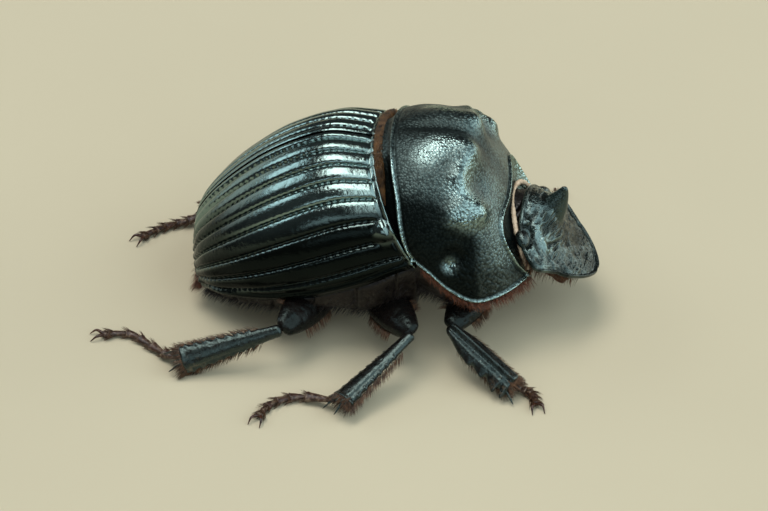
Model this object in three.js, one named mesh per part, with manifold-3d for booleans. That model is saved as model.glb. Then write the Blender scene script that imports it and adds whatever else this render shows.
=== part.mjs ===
// A dung beetle (a small-horned tunnelling scarab), life size, standing still.
// Millimetres. +X is towards the head, +Y is the beetle's left and +Z is up from the floor at z = 0.
// Every shape is first laid out with x = 0 at the seam between pronotum and elytra, and the whole
// beetle is then moved so that the origin is at the middle of its footprint.
import * as THREE from "three";
import { mergeVertices } from "three/addons/utils/BufferGeometryUtils.js";
import Module from "manifold-3d";

const wasm = await Module();
wasm.setup();

// ---- Driving dimensions -----------------------------------------------------------------------
const FOOTPRINT_MIDDLE_X = -2.925;
const SEAM = 0.08; // gap left between neighbouring plates
const BELLY_Z = 1.35; // lowest level of the underside, between the middle and hind hips
const STRIA_DEPTH = 0.13; // how far each groove of an elytron lies below its ridges
// Where the eight grooves of an elytron run, as shares of the way from suture to side edge.
const STRIAE = [0.055, 0.145, 0.24, 0.345, 0.46, 0.6, 0.74, 0.87];
const HEAD_PITCH = 0.69; // the face slopes down and forward, in radians
const HEAD_YAW = -0.26; // the head is turned a little to its right
const HEAD_ROLL = -0.18; // and its left cheek is a little lower
const HEAD_AT = [7.24, 0.21, 6.97]; // the crown, where the head leaves the pronotum
const GENA_AT = 2.0; // how far in front of the crown the cheeks are widest
const HEAD_HALF_WIDTH = 3.8;
const CLYPEUS_LENGTH = 4.0; // from the cheeks to the front edge
const NAPE_LENGTH = 2.45; // and from the cheeks back to the edge under the pronotum
const HEAD_TAPER = 1.2; // 1 would round the head like an ellipse, and 2 would make it a rhombus
const CHEEK = { ahead: 0.55, reach: 0.7, bulge: 0.45 }; // the blunt corner that each cheek makes

const EL_STEPS = 12; // rings along an elytron
const PN_STEPS = 14; // rings along the pronotum
const PN_ACROSS = 26; // steps across the pronotum

// ---- Materials --------------------------------------------------------------------------------
const cuticle = (color, roughness) => new THREE.MeshStandardMaterial({ color, roughness, metalness: 0 });
const ELYTRA = cuticle(0x0b0e0e, 0.22);
const PRONOTUM = cuticle(0x101413, 0.38);
const HEAD = cuticle(0x111514, 0.34);
const UNDERSIDE = cuticle(0x120b08, 0.45);
const LEG = cuticle(0x0e0c0b, 0.28);
const TARSUS = cuticle(0x2a1610, 0.4);
const EYE = cuticle(0x160d08, 0.12);
const FEELER = cuticle(0x4a2413, 0.5);

// ---- Small tools ------------------------------------------------------------------------------
const V = (x, y, z) => new THREE.Vector3(x, y, z);
const clamp = THREE.MathUtils.clamp;

// A smooth curve through a few [x, y, z] stations, read at t from 0 to 1.
function through(stations) {
  const curve = new THREE.CatmullRomCurve3(stations.map((p) => V(...p)), false, "catmullrom", 0.5);
  return (t) => curve.getPoint(clamp(t, 0, 1));
}

// Skins a row of rings, each with the same number of points, and closes both ends with a fan.
function loft(rings) {
  const n = rings[0].length;
  const points = rings.flat();
  const faces = [];
  for (let r = 0; r + 1 < rings.length; r++) {
    for (let i = 0; i < n; i++) {
      const a = r * n + i;
      const b = r * n + ((i + 1) % n);
      faces.push(a, b, b + n, a, b + n, a + n);
    }
  }
  const ends = [[rings[0], 0, true], [rings.at(-1), (rings.length - 1) * n, false]];
  for (const [ring, base, flip] of ends) {
    const middle = ring.reduce((sum, p) => sum.add(p), V(0, 0, 0)).divideScalar(n);
    const hub = points.push(middle) - 1;
    for (let i = 0; i < n; i++) {
      const a = base + i;
      const b = base + ((i + 1) % n);
      faces.push(hub, flip ? b : a, flip ? a : b);
    }
  }
  return facingOut(points, faces);
}

// An indexed geometry whose faces point outwards, whichever way round the rings were given.
function facingOut(points, faces) {
  let volume = 0;
  for (let i = 0; i < faces.length; i += 3) {
    const [a, b, c] = [points[faces[i]], points[faces[i + 1]], points[faces[i + 2]]];
    volume += a.dot(V().crossVectors(b, c));
  }
  if (volume < 0) {
    for (let i = 0; i < faces.length; i += 3) {
      [faces[i + 1], faces[i + 2]] = [faces[i + 2], faces[i + 1]];
    }
  }
  const geometry = new THREE.BufferGeometry().setFromPoints(points);
  geometry.setIndex(faces);
  return geometry;
}

// A tube of round or oval section along a smooth curve, with size(t) = [half width, half height].
function tube(stations, size, steps, sides, up = V(0, 0, 1)) {
  const path = through(stations);
  const rings = [];
  for (let r = 0; r <= steps; r++) {
    const t = r / steps;
    const ahead = path(Math.min(1, t + 0.02)).sub(path(Math.max(0, t - 0.02))).normalize();
    const side = V().crossVectors(up, ahead).normalize();
    const rise = V().crossVectors(ahead, side);
    const [wide, high] = size(t);
    const ring = [];
    for (let i = 0; i < sides; i++) {
      const angle = (2 * Math.PI * (i + 0.5)) / sides;
      const p = path(t).addScaledVector(side, wide * Math.cos(angle));
      ring.push(p.addScaledVector(rise, high * Math.sin(angle)));
    }
    rings.push(ring);
  }
  return loft(rings);
}

// A mesh as a manifold solid in the beetle's own frame.
function solidOf(mesh) {
  mesh.updateWorldMatrix(true, false);
  const geometry = mesh.geometry.clone().applyMatrix4(mesh.matrixWorld);
  geometry.deleteAttribute("normal");
  geometry.deleteAttribute("uv");
  const merged = mergeVertices(geometry, 1e-4);
  return new wasm.Manifold(
    new wasm.Mesh({
      numProp: 3,
      vertProperties: merged.attributes.position.array,
      triVerts: new Uint32Array(merged.index.array),
    }),
  );
}

function geometryOf(solid) {
  const { numProp, vertProperties, triVerts } = solid.getMesh();
  const positions = [];
  for (let i = 0; i < vertProperties.length; i += numProp) {
    positions.push(vertProperties[i], vertProperties[i + 1], vertProperties[i + 2]);
  }
  const geometry = new THREE.BufferGeometry();
  geometry.setAttribute("position", new THREE.Float32BufferAttribute(positions, 3));
  geometry.setIndex([...triVerts]);
  return geometry;
}

// Gives a mesh a new solid, which is stated in the beetle's frame.
function reshape(mesh, solid) {
  const largest = solid.decompose().sort((a, b) => b.volume() - a.volume())[0];
  mesh.geometry = geometryOf(largest).applyMatrix4(mesh.matrixWorld.clone().invert());
  return mesh;
}

function cut(mesh, ...tools) {
  return reshape(mesh, tools.reduce((solid, tool) => solid.subtract(solidOf(tool)), solidOf(mesh)));
}

function join(mesh, ...more) {
  return reshape(mesh, more.reduce((solid, other) => solid.add(solidOf(other)), solidOf(mesh)));
}

function named(name, geometry, material, parent) {
  const mesh = new THREE.Mesh(geometry, material);
  mesh.name = name;
  parent?.add(mesh);
  return mesh;
}

// ---- Body: the plates are ruled between a line along the back and a line along each side -------
// An elytron's back line and side line, from its base at the pronotum to its tip.
const elytronBack = through([
  [-1.75, 0, 11.3], [-4.3, 0, 11.4], [-7.3, 0, 10.0], [-10.0, 0, 7.75], [-11.8, 0, 5.4], [-12.2, 0, 3.5],
]);
const elytronSide = through([
  [0.75, 5.9, 7.05], [-1.5, 6.3, 6.1], [-4.5, 6.4, 4.95],
  [-7.4, 5.8, 3.8], [-10.0, 4.5, 2.7], [-11.5, 3.1, 2.05],
]);

// The pronotum's back line, from its hind edge over the hump and down the steep front, and its side edge.
const pronotumBack = through([
  [-1.5, 0, 11.35], [0.6, 0, 12.1], [2.6, 0, 12.2], [4.2, 0, 11.5], [5.55, 0, 9.6], [6.6, 0, 7.75],
]);
const pronotumSide = through([
  [1.1, 5.85, 7.1], [2.2, 6.15, 6.45], [3.4, 6.3, 5.45], [4.9, 6.3, 4.75], [6.5, 5.3, 4.65], [7.85, 3.6, 4.7],
]);

const ELYTRAL = { back: elytronBack, side: elytronSide, wrap: 1.75 };
const PRONOTAL = { back: pronotumBack, side: pronotumSide, wrap: 1.62 };

// A point of the arch that springs from the side line and passes through the back line.
function onArch(back, side, angle) {
  const rise = Math.cos(angle);
  return V(
    side.x + (back.x - side.x) * rise,
    side.y * Math.sin(angle),
    side.z + (back.z - side.z) * rise,
  );
}

// Elytron, with a shallow groove at each stria and a low ridge between each two.
function elytron(side) {
  const shares = [0];
  const edges = [0, ...STRIAE, 1];
  for (let i = 1; i < edges.length; i++) shares.push((edges[i - 1] + edges[i]) / 2, edges[i]);
  const rings = [];
  for (let r = 0; r <= EL_STEPS; r++) {
    const t = r / EL_STEPS;
    const [back, edge] = [elytronBack(t), elytronSide(t)];
    const middle = V(edge.x, 0, edge.z);
    const ring = shares.map((share, i) => {
      const groove = i > 0 && i % 2 === 0 && i < shares.length - 1 ? STRIA_DEPTH : 0;
      const p = onArch(back, edge, share * ELYTRAL.wrap);
      const inward = middle.clone().sub(p).setLength(groove);
      p.add(inward);
      p.y = Math.max(p.y, SEAM / 2);
      return p;
    });
    ring.push(V(edge.x, SEAM / 2, ring.at(-1).z));
    rings.push(ring.map((p) => V(p.x, side * p.y, p.z)));
  }
  return loft(rings);
}

// Local swellings and pits of the pronotum's left half, each mirrored on the right. A form spreads
// round a place, or along the line between two places, and is steeper-sided the sharper it is.
const PRONOTUM_FORMS = [
  // The lobe beside the mid groove, its front corner, and its low ridge towards the back.
  { at: [3.9, 1.3, 11.6], radius: 1.1, height: 0.42, sharp: 2, towards: [0.35, 0, 0.94] },
  { at: [4.4, 1.3, 11.3], radius: 0.6, height: 0.12, sharp: 2, towards: [0.7, 0, 0.7] },
  { at: [2.2, 1.4, 11.9], radius: 1.3, height: 0.16, sharp: 2, towards: [0, 0, 1] },
  // The shoulder, which curves in on its way from the lobe to the tubercle, and the hollow before it.
  {
    at: [4.1, 1.7, 11.3], to: [3.6, 3.2, 10.95],
    radius: 0.6, height: 0.17, sharp: 2, towards: [0.3, 0.2, 0.93],
  },
  {
    at: [3.6, 3.2, 10.95], to: [3.9, 4.15, 10.1],
    radius: 0.6, height: 0.17, sharp: 2, towards: [0.3, 0.4, 0.85],
  },
  { at: [4.75, 2.7, 10.3], radius: 0.85, height: -0.25, sharp: 2, towards: [0.7, 0, 0.7] },
  // The blunt tubercle at each side, its steeper front end, and the hollow below it.
  {
    at: [3.6, 4.9, 9.5], to: [4.8, 4.2, 9.3],
    radius: 0.85, height: 0.3, sharp: 3, towards: [0.4, 0.55, 0.7],
  },
  { at: [4.85, 4.15, 9.2], radius: 0.55, height: 0.2, sharp: 3, towards: [0.7, 0.4, 0.5] },
  {
    at: [4.25, 5.75, 8.0], to: [4.4, 6.0, 7.3],
    radius: 0.55, height: -0.2, sharp: 2, towards: [0.3, 0.8, 0.4],
  },
  // The pit in the flank.
  { at: [3.6, 6.0, 7.3], to: [3.4, 6.1, 7.0], radius: 0.6, height: -0.42, sharp: 3, towards: [0, 1, 0.2] },
];
const MID_GROOVE = { from: 0.6, to: 5.0, halfWidth: 0.5, depth: 0.28 };

function pronotumPoint(t, angle) {
  const p = onArch(pronotumBack(t), pronotumSide(t), angle);
  const moved = p.clone();
  for (const side of [-1, 1]) {
    const mirrored = ([x, y, z]) => V(x, side * y, z);
    for (const form of PRONOTUM_FORMS) {
      const line = new THREE.Line3(mirrored(form.at), mirrored(form.to ?? form.at));
      const distance = p.distanceTo(line.closestPointToPoint(p, true, V()));
      const height = form.height * Math.exp(-((distance / form.radius) ** form.sharp));
      moved.addScaledVector(mirrored(form.towards), height);
    }
  }
  const inGroove = THREE.MathUtils.smoothstep(p.x, MID_GROOVE.from - 1, MID_GROOVE.from + 1)
    * (1 - THREE.MathUtils.smoothstep(p.x, MID_GROOVE.to - 0.8, MID_GROOVE.to + 0.8));
  if (p.z > pronotumSide(t).z) {
    moved.z -= MID_GROOVE.depth * inGroove * Math.exp(-((p.y / MID_GROOVE.halfWidth) ** 2));
  }
  return moved;
}

function pronotum() {
  const rings = [];
  for (let r = 0; r <= PN_STEPS; r++) {
    const t = r / PN_STEPS;
    const ring = [];
    for (let i = 0; i <= PN_ACROSS; i++) {
      ring.push(pronotumPoint(t, PRONOTAL.wrap * ((2 * i) / PN_ACROSS - 1)));
    }
    rings.push(ring);
  }
  return loft(rings);
}

// A piece of the underside: it hangs from the floor of a plate, between two shares of the plate's length.
function keel(plate, from, to, lowest, fullness) {
  const [steps, across, inset] = [7, 12, 0.93];
  const rings = [];
  for (let r = 0; r <= steps; r++) {
    const share = r / steps;
    const t = from + (to - from) * share;
    const edge = onArch(plate.back(t), plate.side(t), plate.wrap);
    const top = edge.z - SEAM;
    const depth = top - lowest(share);
    const ring = [];
    for (let i = 0; i <= across; i++) {
      const angle = Math.PI * (i / across);
      const [c, s] = [Math.cos(angle), Math.sin(angle)];
      const y = edge.y * inset * Math.sign(c) * Math.abs(c) ** fullness;
      ring.push(V(edge.x, y, top - depth * Math.abs(s) ** fullness));
    }
    rings.push(ring);
  }
  return loft(rings);
}

// ---- Head -------------------------------------------------------------------------------------
// In the head's own group, +X runs forward along the face, +Y is left and +Z stands off the face.
// Height of the face over its own plane: a raised brow, falling to the cheeks, with a turned-up rim.
function faceHeight(x, y) {
  const across = y / HEAD_HALF_WIDTH;
  const brow = 1.25 * Math.exp(-(((x - 1.1) / 1.75) ** 2)) * Math.exp(-((across / 0.55) ** 2));
  const cheek = -(across ** 2) * (0.4 + 0.25 * Math.max(0, GENA_AT - x));
  return brow + cheek;
}

function headShield() {
  const [rows, columns, thick] = [4, 28, 0.42];
  const outline = Array.from({ length: columns }, (_, i) => {
    const angle = (2 * Math.PI * i) / columns;
    const [forward, across] = [Math.cos(angle), Math.sin(angle)];
    const reach = forward > 0 ? CLYPEUS_LENGTH : NAPE_LENGTH;
    const x = reach * Math.sign(forward) * Math.abs(forward) ** HEAD_TAPER;
    const cheek = CHEEK.bulge * Math.exp(-(((x - CHEEK.ahead) / CHEEK.reach) ** 2));
    const halfWidth = HEAD_HALF_WIDTH * Math.abs(across) ** HEAD_TAPER + cheek;
    return [GENA_AT + x, Math.sign(across) * halfWidth];
  });
  const ringAt = (share, lift) =>
    outline.map(([x, y]) => {
      const [px, py] = [GENA_AT + (x - GENA_AT) * share, y * share];
      return V(px, py, faceHeight(px, py) + lift(share));
    });
  const rim = (share) => (share === 1 ? 0.12 : 0);
  const underneath = (share) => -thick - 0.9 * (1 - share);
  const rings = [];
  for (let r = 1; r <= rows; r++) rings.push(ringAt(r / rows, rim));
  for (let r = rows; r >= 1; r--) rings.push(ringAt((r / rows) * 0.98, underneath));
  return loft(rings);
}

function horn() {
  const stations = [[1.5, 0, 0.3], [1.38, 0, 0.95], [1.2, 0, 1.75], [0.97, 0, 2.5]];
  const halfLength = (t) => 0.14 + 1.0 * (1 - t) ** 0.9;
  const halfWidth = (t) => 0.14 + 0.66 * (1 - t);
  return tube(stations, (t) => [halfWidth(t), halfLength(t)], 5, 10, V(1, 0, 0));
}

// ---- Legs -------------------------------------------------------------------------------------
// Joint places of a right leg, from the hip to the tip of the foot, the half sizes of its thigh and
// shin, and the way that the wide side of its shin faces.
const LEGS = {
  front: {
    hip: [5.3, -2.3, 3.3], knee: [3.5, -6.7, 2.8], ankle: [7.35, -9.15, 0.85],
    femur: [1.05, 0.75], flat: [0.1, -0.55, 0.83],
    foot: [[7.3, -8.9, 0.7], [7.9, -8.85, 0.35], [8.5, -9.2, 0.25], [8.75, -10.0, 0.24]],
  },
  mid: {
    hip: [-1.5, -3.0, 2.6], knee: [1.4, -7.6, 2.9], ankle: [-2.3, -11.6, 0.9],
    femur: [1.15, 0.75], tibia: [0.36, 0.8], flat: [-0.5, -0.2, 0.84],
    foot: [
      [-2.6, -11.3, 0.68], [-4.4, -10.7, 0.33], [-5.6, -10.9, 0.25], [-6.5, -11.6, 0.24], [-6.9, -12.6, 0.24],
    ],
  },
  hind: {
    hip: [-3.6, -2.2, 2.6], knee: [-6.1, -7.8, 2.8], ankle: [-11.9, -8.9, 0.9],
    femur: [1.2, 0.8], tibia: [0.36, 0.8], flat: [0.1, -0.8, 0.55],
    foot: [
      [-12.0, -8.4, 0.72], [-13.0, -7.6, 0.35], [-14.1, -6.7, 0.25], [-15.3, -5.9, 0.24], [-16.9, -6.1, 0.24],
    ],
  },
};
// The left hind leg is drawn further in under the body than the right one.
const LEFT_HIND = {
  ...LEGS.hind, knee: [-6.6, -7.2, 2.8], ankle: [-12.2, -5.6, 0.95],
  foot: [
    [-12.5, -5.2, 0.75], [-13.3, -5.0, 0.38], [-14.2, -4.7, 0.25], [-15.1, -4.1, 0.24], [-15.9, -3.3, 0.24],
  ],
};
const TARSOMERES = 5;

// A thigh: narrow at both ends and swollen in the middle.
function femur(leg) {
  const [wide, thick] = leg.femur;
  const swell = (t) => Math.sin(Math.PI * clamp(0.12 + 0.8 * t, 0, 1)) ** 0.7;
  return tube([leg.hip, leg.knee], (t) => [wide * swell(t), thick * swell(t)], 7, 10, V(...leg.flat));
}

// A middle or hind shin: flattened and flaring to a cut-off end.
function shin(leg) {
  const [start, end] = leg.tibia;
  const flare = (t) => start + (end - start) * t ** 1.3;
  const size = (t) => [flare(t), Math.max(0.28, flare(t) * 0.55)];
  return tube([leg.knee, leg.ankle], size, 6, 8, V(...leg.flat));
}

// The teeth of a front shin: the place of each, as a share of the shin's length, and its height.
const SHIN_TEETH = [[0.42, 0.08], [0.62, 0.14], [0.81, 0.3], [0.92, 0.28]];

// A front shin: a flat digging blade with the teeth along its outer edge, which is at +Y or -Y.
function blade(leg, outer) {
  const length = V(...leg.knee).distanceTo(V(...leg.ankle));
  const [root, wide, inner, thick] = [0.4, 0.85, 0.62, 0.62];
  const edgeAt = (share) => root + (wide - root) * THREE.MathUtils.smoothstep(share, 0, 0.45);
  const outline = [[0, -root], [0, root], [0.17 * length, edgeAt(0.17)]];
  for (const [share, height] of SHIN_TEETH) {
    const [at, edge] = [length * share, edgeAt(share)];
    outline.push([at - 0.35, edge], [at + 0.15, edge + height], [at + 0.3, edge]);
  }
  outline.push([length, 0.6 * inner], [length, -inner], [0.4 * length, -inner]);
  const shape = new THREE.Shape(outline.map(([x, y]) => new THREE.Vector2(x, outer * y)));
  const geometry = new THREE.ExtrudeGeometry(shape, { depth: thick, bevelEnabled: false });
  geometry.translate(0, 0, -thick / 2);
  return geometry;
}

// Turns a mesh so that its own +X runs from one point to the next, with its own +Z nearest to `face`.
function along(mesh, from, to, face) {
  const x = V(...to).sub(V(...from)).normalize();
  const y = V(...face).cross(x).normalize();
  const z = V().crossVectors(x, y);
  mesh.quaternion.setFromRotationMatrix(new THREE.Matrix4().makeBasis(x, y, z));
  mesh.position.set(...from);
  return mesh;
}

// A foot: five short joints that flare and pinch, and two claws.
function foot(leg) {
  const [neck, flare] = [0.25, 0.34];
  const size = (t) => {
    const r = neck + (flare - neck) * Math.abs(Math.sin(Math.PI * TARSOMERES * t));
    return [r * 1.1, r * 0.9];
  };
  return tube(leg.foot, size, TARSOMERES * 2, 6);
}

function claws(leg) {
  const [before, tip] = [V(...leg.foot.at(-2)), V(...leg.foot.at(-1))];
  const ahead = tip.clone().sub(before).normalize();
  return [-1, 1].map((side) => {
    const out = V().crossVectors(V(0, 0, 1), ahead).multiplyScalar(side);
    const start = tip.clone().addScaledVector(ahead, -0.25);
    const bend = tip.clone().addScaledVector(ahead, 0.25).addScaledVector(out, 0.3);
    const end = tip.clone().addScaledVector(ahead, 0.7).addScaledVector(out, 0.35);
    bend.z += 0.06;
    end.z = 0.16;
    const taper = (t) => [0.22 - 0.1 * t, 0.22 - 0.1 * t];
    return new THREE.Mesh(tube([start, bend, end].map((p) => p.toArray()), taper, 2, 5));
  });
}

// Two short spurs at the end of a middle or hind shin, or one on a front shin.
function spurs(leg, count) {
  const [knee, ankle] = [V(...leg.knee), V(...leg.ankle)];
  const ahead = ankle.clone().sub(knee).normalize();
  const across = V().crossVectors(V(...leg.flat), ahead).normalize();
  return Array.from({ length: count }, (_, i) => {
    const out = across.clone().multiplyScalar(i === 0 ? -0.5 : 0.15);
    const start = ankle.clone().addScaledVector(ahead, -0.3).add(out);
    const end = ankle.clone().addScaledVector(ahead, 0.75).addScaledVector(out, 1.3);
    end.z = Math.max(0.25, end.z - 0.2);
    const taper = (t) => [0.26 - 0.12 * t, 0.26 - 0.12 * t];
    return new THREE.Mesh(tube([start.toArray(), end.toArray()], taper, 2, 6));
  });
}

// Everything below the floor's level, for cutting small flats under the feet.
const underFloor = new THREE.Mesh(new THREE.BoxGeometry(80, 80, 10).translate(0, 0, -5));

function buildLeg(kind, side, s, parent, body) {
  const right = kind === "hind" && side === "left" ? LEFT_HIND : LEGS[kind];
  const flip = ([x, y, z]) => [x, -s * y, z];
  const leg = {
    ...right,
    hip: flip(right.hip), knee: flip(right.knee), ankle: flip(right.ankle), flat: flip(right.flat),
    foot: right.foot.map(flip),
  };
  const group = new THREE.Group();
  parent.add(group);
  const thigh = named(`femur_${kind}_${side}`, femur(leg), LEG, group);
  cut(thigh, ...body);
  const tibia = named(`tibia_${kind}_${side}`, kind === "front" ? blade(leg, s) : shin(leg), LEG, group);
  if (kind === "front") along(tibia, leg.knee, leg.ankle, leg.flat);
  join(tibia, ...spurs(leg, kind === "front" ? 1 : 2));
  cut(tibia, thigh, underFloor, ...body);
  const tarsus = named(`tarsus_${kind}_${side}`, foot(leg), TARSUS, group);
  join(tarsus, ...claws(leg));
  cut(tarsus, tibia, underFloor);
  return group;
}

// ---- Assembly ---------------------------------------------------------------------------------
const beetle = new THREE.Group();

const SIDES = [["left", 1], ["right", -1]];
const elytra = SIDES.map(([side, s]) => named(`elytron_${side}`, elytron(s), ELYTRA, beetle));
const shield = named("pronotum", pronotum(), PRONOTUM, beetle);

const prothorax = named(
  "prothorax_underside",
  keel(PRONOTAL, 0.02, 0.98, (s) => BELLY_Z + 1.25 + 0.9 * s ** 2, 0.75),
  UNDERSIDE,
  beetle,
);
const metathorax = named(
  "metathorax",
  keel(ELYTRAL, 0, 0.43, (s) => BELLY_Z + 0.75 * (1 - Math.sin(Math.PI * Math.min(1, s + 0.15))), 0.6),
  UNDERSIDE,
  beetle,
);
const abdomen = named(
  "abdomen",
  keel(ELYTRAL, 0.445, 0.97, (s) => BELLY_Z + 0.15 + 0.1 * s, 0.6),
  UNDERSIDE,
  beetle,
);
cut(metathorax, prothorax);

// The last plate of the back, which closes the body below the tips of the elytra.
const pygidium = named(
  "pygidium",
  new THREE.SphereGeometry(1, 16, 8).scale(0.55, 2.6, 1.2).rotateY(0.5).translate(-11.35, 0, 2.2),
  UNDERSIDE,
  beetle,
);
cut(pygidium, abdomen, ...elytra);

const headGroup = new THREE.Group();
headGroup.position.set(...HEAD_AT);
headGroup.rotation.set(HEAD_ROLL, HEAD_PITCH, HEAD_YAW, "ZYX");
beetle.add(headGroup);

const head = named("head", headShield(), HEAD, headGroup);
const jaw = new THREE.Mesh(
  new THREE.SphereGeometry(1, 12, 6).scale(2.6, 2.1, 1.3).translate(2.0, 0, -0.9),
);
const neck = new THREE.Mesh(
  new THREE.CylinderGeometry(1.9, 1.9, 2.2, 12).rotateZ(Math.PI / 2).translate(0, 0, -1.5),
);
headGroup.add(jaw, neck);
join(head, jaw, neck);
headGroup.remove(jaw, neck);
cut(head, shield, prothorax);

for (const [side, s] of SIDES) {
  const eye = named(
    `eye_${side}`,
    new THREE.SphereGeometry(1, 10, 8)
      .scale(0.44, 0.68, 0.44)
      .rotateZ(s * -0.6)
      .translate(0.95, s * 2.8, -0.25),
    EYE,
    headGroup,
  );
  cut(head, eye);
  cut(eye, shield, prothorax);
}

const theHorn = named("horn", horn(), HEAD, headGroup);
cut(theHorn, head);

// Under the head, a feeler at each side that ends in a club, and a short beaded palp beside it.
for (const [side, s] of SIDES) {
  const stalk = [[2.7, s * 1.4, -1.25], [3.1, s * 2.0, -1.2], [3.7, s * 2.1, -1.1], [4.4, s * 1.75, -1.0]];
  const swell = (t) => Math.sin(Math.PI * clamp((t - 0.6) / 0.42, 0, 1));
  const club = (t) => [0.26 + 0.2 * swell(t), 0.26 + 0.12 * swell(t)];
  cut(named(`antenna_${side}`, tube(stalk, club, 8, 7), FEELER, headGroup), head);
  const palp = [[3.1, s * 0.9, -1.35], [3.6, s * 1.15, -1.55], [4.1, s * 1.25, -1.6]];
  const beads = (t) => [0.27 + 0.04 * Math.sin(9 * t), 0.27];
  cut(named(`palp_${side}`, tube(palp, beads, 5, 7), FEELER, headGroup), head);
}

const trunk = [shield, prothorax, metathorax, abdomen, ...elytra];
for (const kind of ["front", "mid", "hind"]) {
  for (const [side, s] of SIDES) buildLeg(kind, side, s, beetle, trunk);
}

beetle.position.x = -FOOTPRINT_MIDDLE_X;

export default beetle;
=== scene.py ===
"""The looks of the dung beetle: finely modelled plates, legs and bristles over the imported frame."""
import math

import bpy
import numpy as np
from mathutils import Matrix, Vector


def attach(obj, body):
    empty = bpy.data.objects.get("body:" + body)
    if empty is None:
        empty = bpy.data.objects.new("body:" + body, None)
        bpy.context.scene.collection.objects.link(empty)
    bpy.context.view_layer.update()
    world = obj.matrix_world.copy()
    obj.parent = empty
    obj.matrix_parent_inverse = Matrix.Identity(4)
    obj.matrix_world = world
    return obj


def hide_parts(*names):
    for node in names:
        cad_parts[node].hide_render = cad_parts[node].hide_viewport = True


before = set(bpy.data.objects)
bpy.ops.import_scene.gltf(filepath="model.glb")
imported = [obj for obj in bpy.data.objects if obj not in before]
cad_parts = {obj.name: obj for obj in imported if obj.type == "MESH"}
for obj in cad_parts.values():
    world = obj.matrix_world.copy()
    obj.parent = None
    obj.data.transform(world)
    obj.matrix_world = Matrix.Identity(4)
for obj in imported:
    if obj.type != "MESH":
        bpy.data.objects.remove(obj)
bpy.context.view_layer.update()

# ---- Units and frame ----
# Shapes are laid out in millimetres with x = 0 at the seam between pronotum and elytra.
MM = 0.001
SEAM_TO_MIDDLE = np.array([2.925, 0.0, 0.0])
PI = math.pi
# The beetle heads for +x, and its left is +y.
SIDES = (("left", 1), ("right", -1))


def placed(name, data):
    """A new object in the scene."""
    thing = bpy.data.objects.new(name, data)
    bpy.context.scene.collection.objects.link(thing)
    return thing


# ---- Camera ----
AZIMUTH, ELEVATION = math.radians(5.5), math.radians(38.0)
CAMERA_RIGHT = Vector((math.cos(AZIMUTH), math.sin(AZIMUTH), 0))
CAMERA_BACK = Vector((
    math.sin(AZIMUTH) * math.cos(ELEVATION), -math.cos(AZIMUTH) * math.cos(ELEVATION), math.sin(ELEVATION)
))
CAMERA_UP = CAMERA_BACK.cross(CAMERA_RIGHT)
CAMERA_DISTANCE = 240.0
AIM_RIGHT, AIM_UP = -0.947, 2.041
LENS = 190.1

camera_data = bpy.data.cameras.new("camera")
camera_data.lens = LENS
camera_data.sensor_width = 36.0
camera_data.clip_start, camera_data.clip_end = 0.01, 20.0
camera = placed("camera", camera_data)
bpy.context.scene.camera = camera
eye_point = (
    Vector(SEAM_TO_MIDDLE) + AIM_RIGHT * CAMERA_RIGHT + AIM_UP * CAMERA_UP + CAMERA_DISTANCE * CAMERA_BACK
) * MM
camera.matrix_world = Matrix.Translation(eye_point) @ Matrix(
    (CAMERA_RIGHT, CAMERA_UP, CAMERA_BACK)
).transposed().to_4x4()


# ---- Numbers over arrays ----
def smooth(low, high, x):
    """0 below low, 1 above high and an easy turn between."""
    q = np.clip((x - low) / (high - low), 0, 1)
    return q * q * (3 - 2 * q)


def hump(x, width):
    return np.exp(-((x / width) ** 2))


def xyz(*parts):
    """Points from their coordinates, each an array or a number."""
    return np.stack(np.broadcast_arrays(*parts), -1)


def unit(v):
    return v / np.maximum(np.linalg.norm(v, axis=-1, keepdims=True), 1e-12)


def through(*stations):
    """A smooth curve through a few stations, read at an array t from 0 to 1."""
    knots = np.array(stations, float)
    knots = np.vstack([2 * knots[0] - knots[1], knots, 2 * knots[-1] - knots[-2]])
    spans = len(stations) - 1

    def at(t):
        along = np.clip(np.asarray(t, float), 0, 1) * spans
        i = np.minimum(along.astype(int), spans - 1)
        w = (along - i)[..., None]
        a, b, c, d = (knots[i + k] for k in range(4))
        return b + w * (c - a) / 2 + w**2 * (a - 2.5 * b + 2 * c - d / 2) + w**3 * (3 * b - a - 3 * c + d) / 2

    return at


def dice(seed, *cells):
    """A number from 0 to 1 for each lattice cell, the same in every run."""
    h = np.full(np.shape(cells[0]), seed * 2654435 + 97, np.uint32)
    for cell in cells:
        h = (h ^ np.asarray(cell).astype(np.int64).astype(np.uint32)) * np.uint32(0x85EBCA6B)
        h = (h ^ (h >> np.uint32(13))) * np.uint32(0xC2B2AE35)
        h = h ^ (h >> np.uint32(16))
    return h / 2.0**32


def noise(points, scale, seed):
    """Smooth noise from -1 to 1 over points (..., 3), with swells about `scale` apart."""
    p = points / scale
    cell = np.floor(p)
    f = p - cell
    f = f * f * (3 - 2 * f)
    total = 0
    for corner in np.ndindex(2, 2, 2):
        share = np.prod(np.where(corner, f, 1 - f), axis=-1)
        total = total + share * dice(seed, *(cell[..., k] + corner[k] for k in range(3)))
    return 2 * total - 1


def pits(u, v, spacing, radius, seed, density=1.0):
    """Round dimples from 0 to 1 deep, one in most cells of a loose lattice over the plane u, v."""
    gu, gv = u / spacing, v / spacing
    iu, iv = np.floor(gu), np.floor(gv)
    deepest = np.zeros(np.shape(u))
    for du in (-1, 0, 1):
        for dv in (-1, 0, 1):
            cu, cv = iu + du, iv + dv
            x = cu + 0.5 + 0.36 * (2 * dice(seed, cu, cv) - 1)
            y = cv + 0.5 + 0.36 * (2 * dice(seed + 1, cu, cv) - 1)
            size = radius / spacing * (0.75 + 0.5 * dice(seed + 2, cu, cv))
            dimple = np.exp(-((gu - x) ** 2 + (gv - y) ** 2) / size**2)
            deepest = np.maximum(deepest, dimple * (dice(seed + 3, cu, cv) < density))
    return deepest


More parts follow.
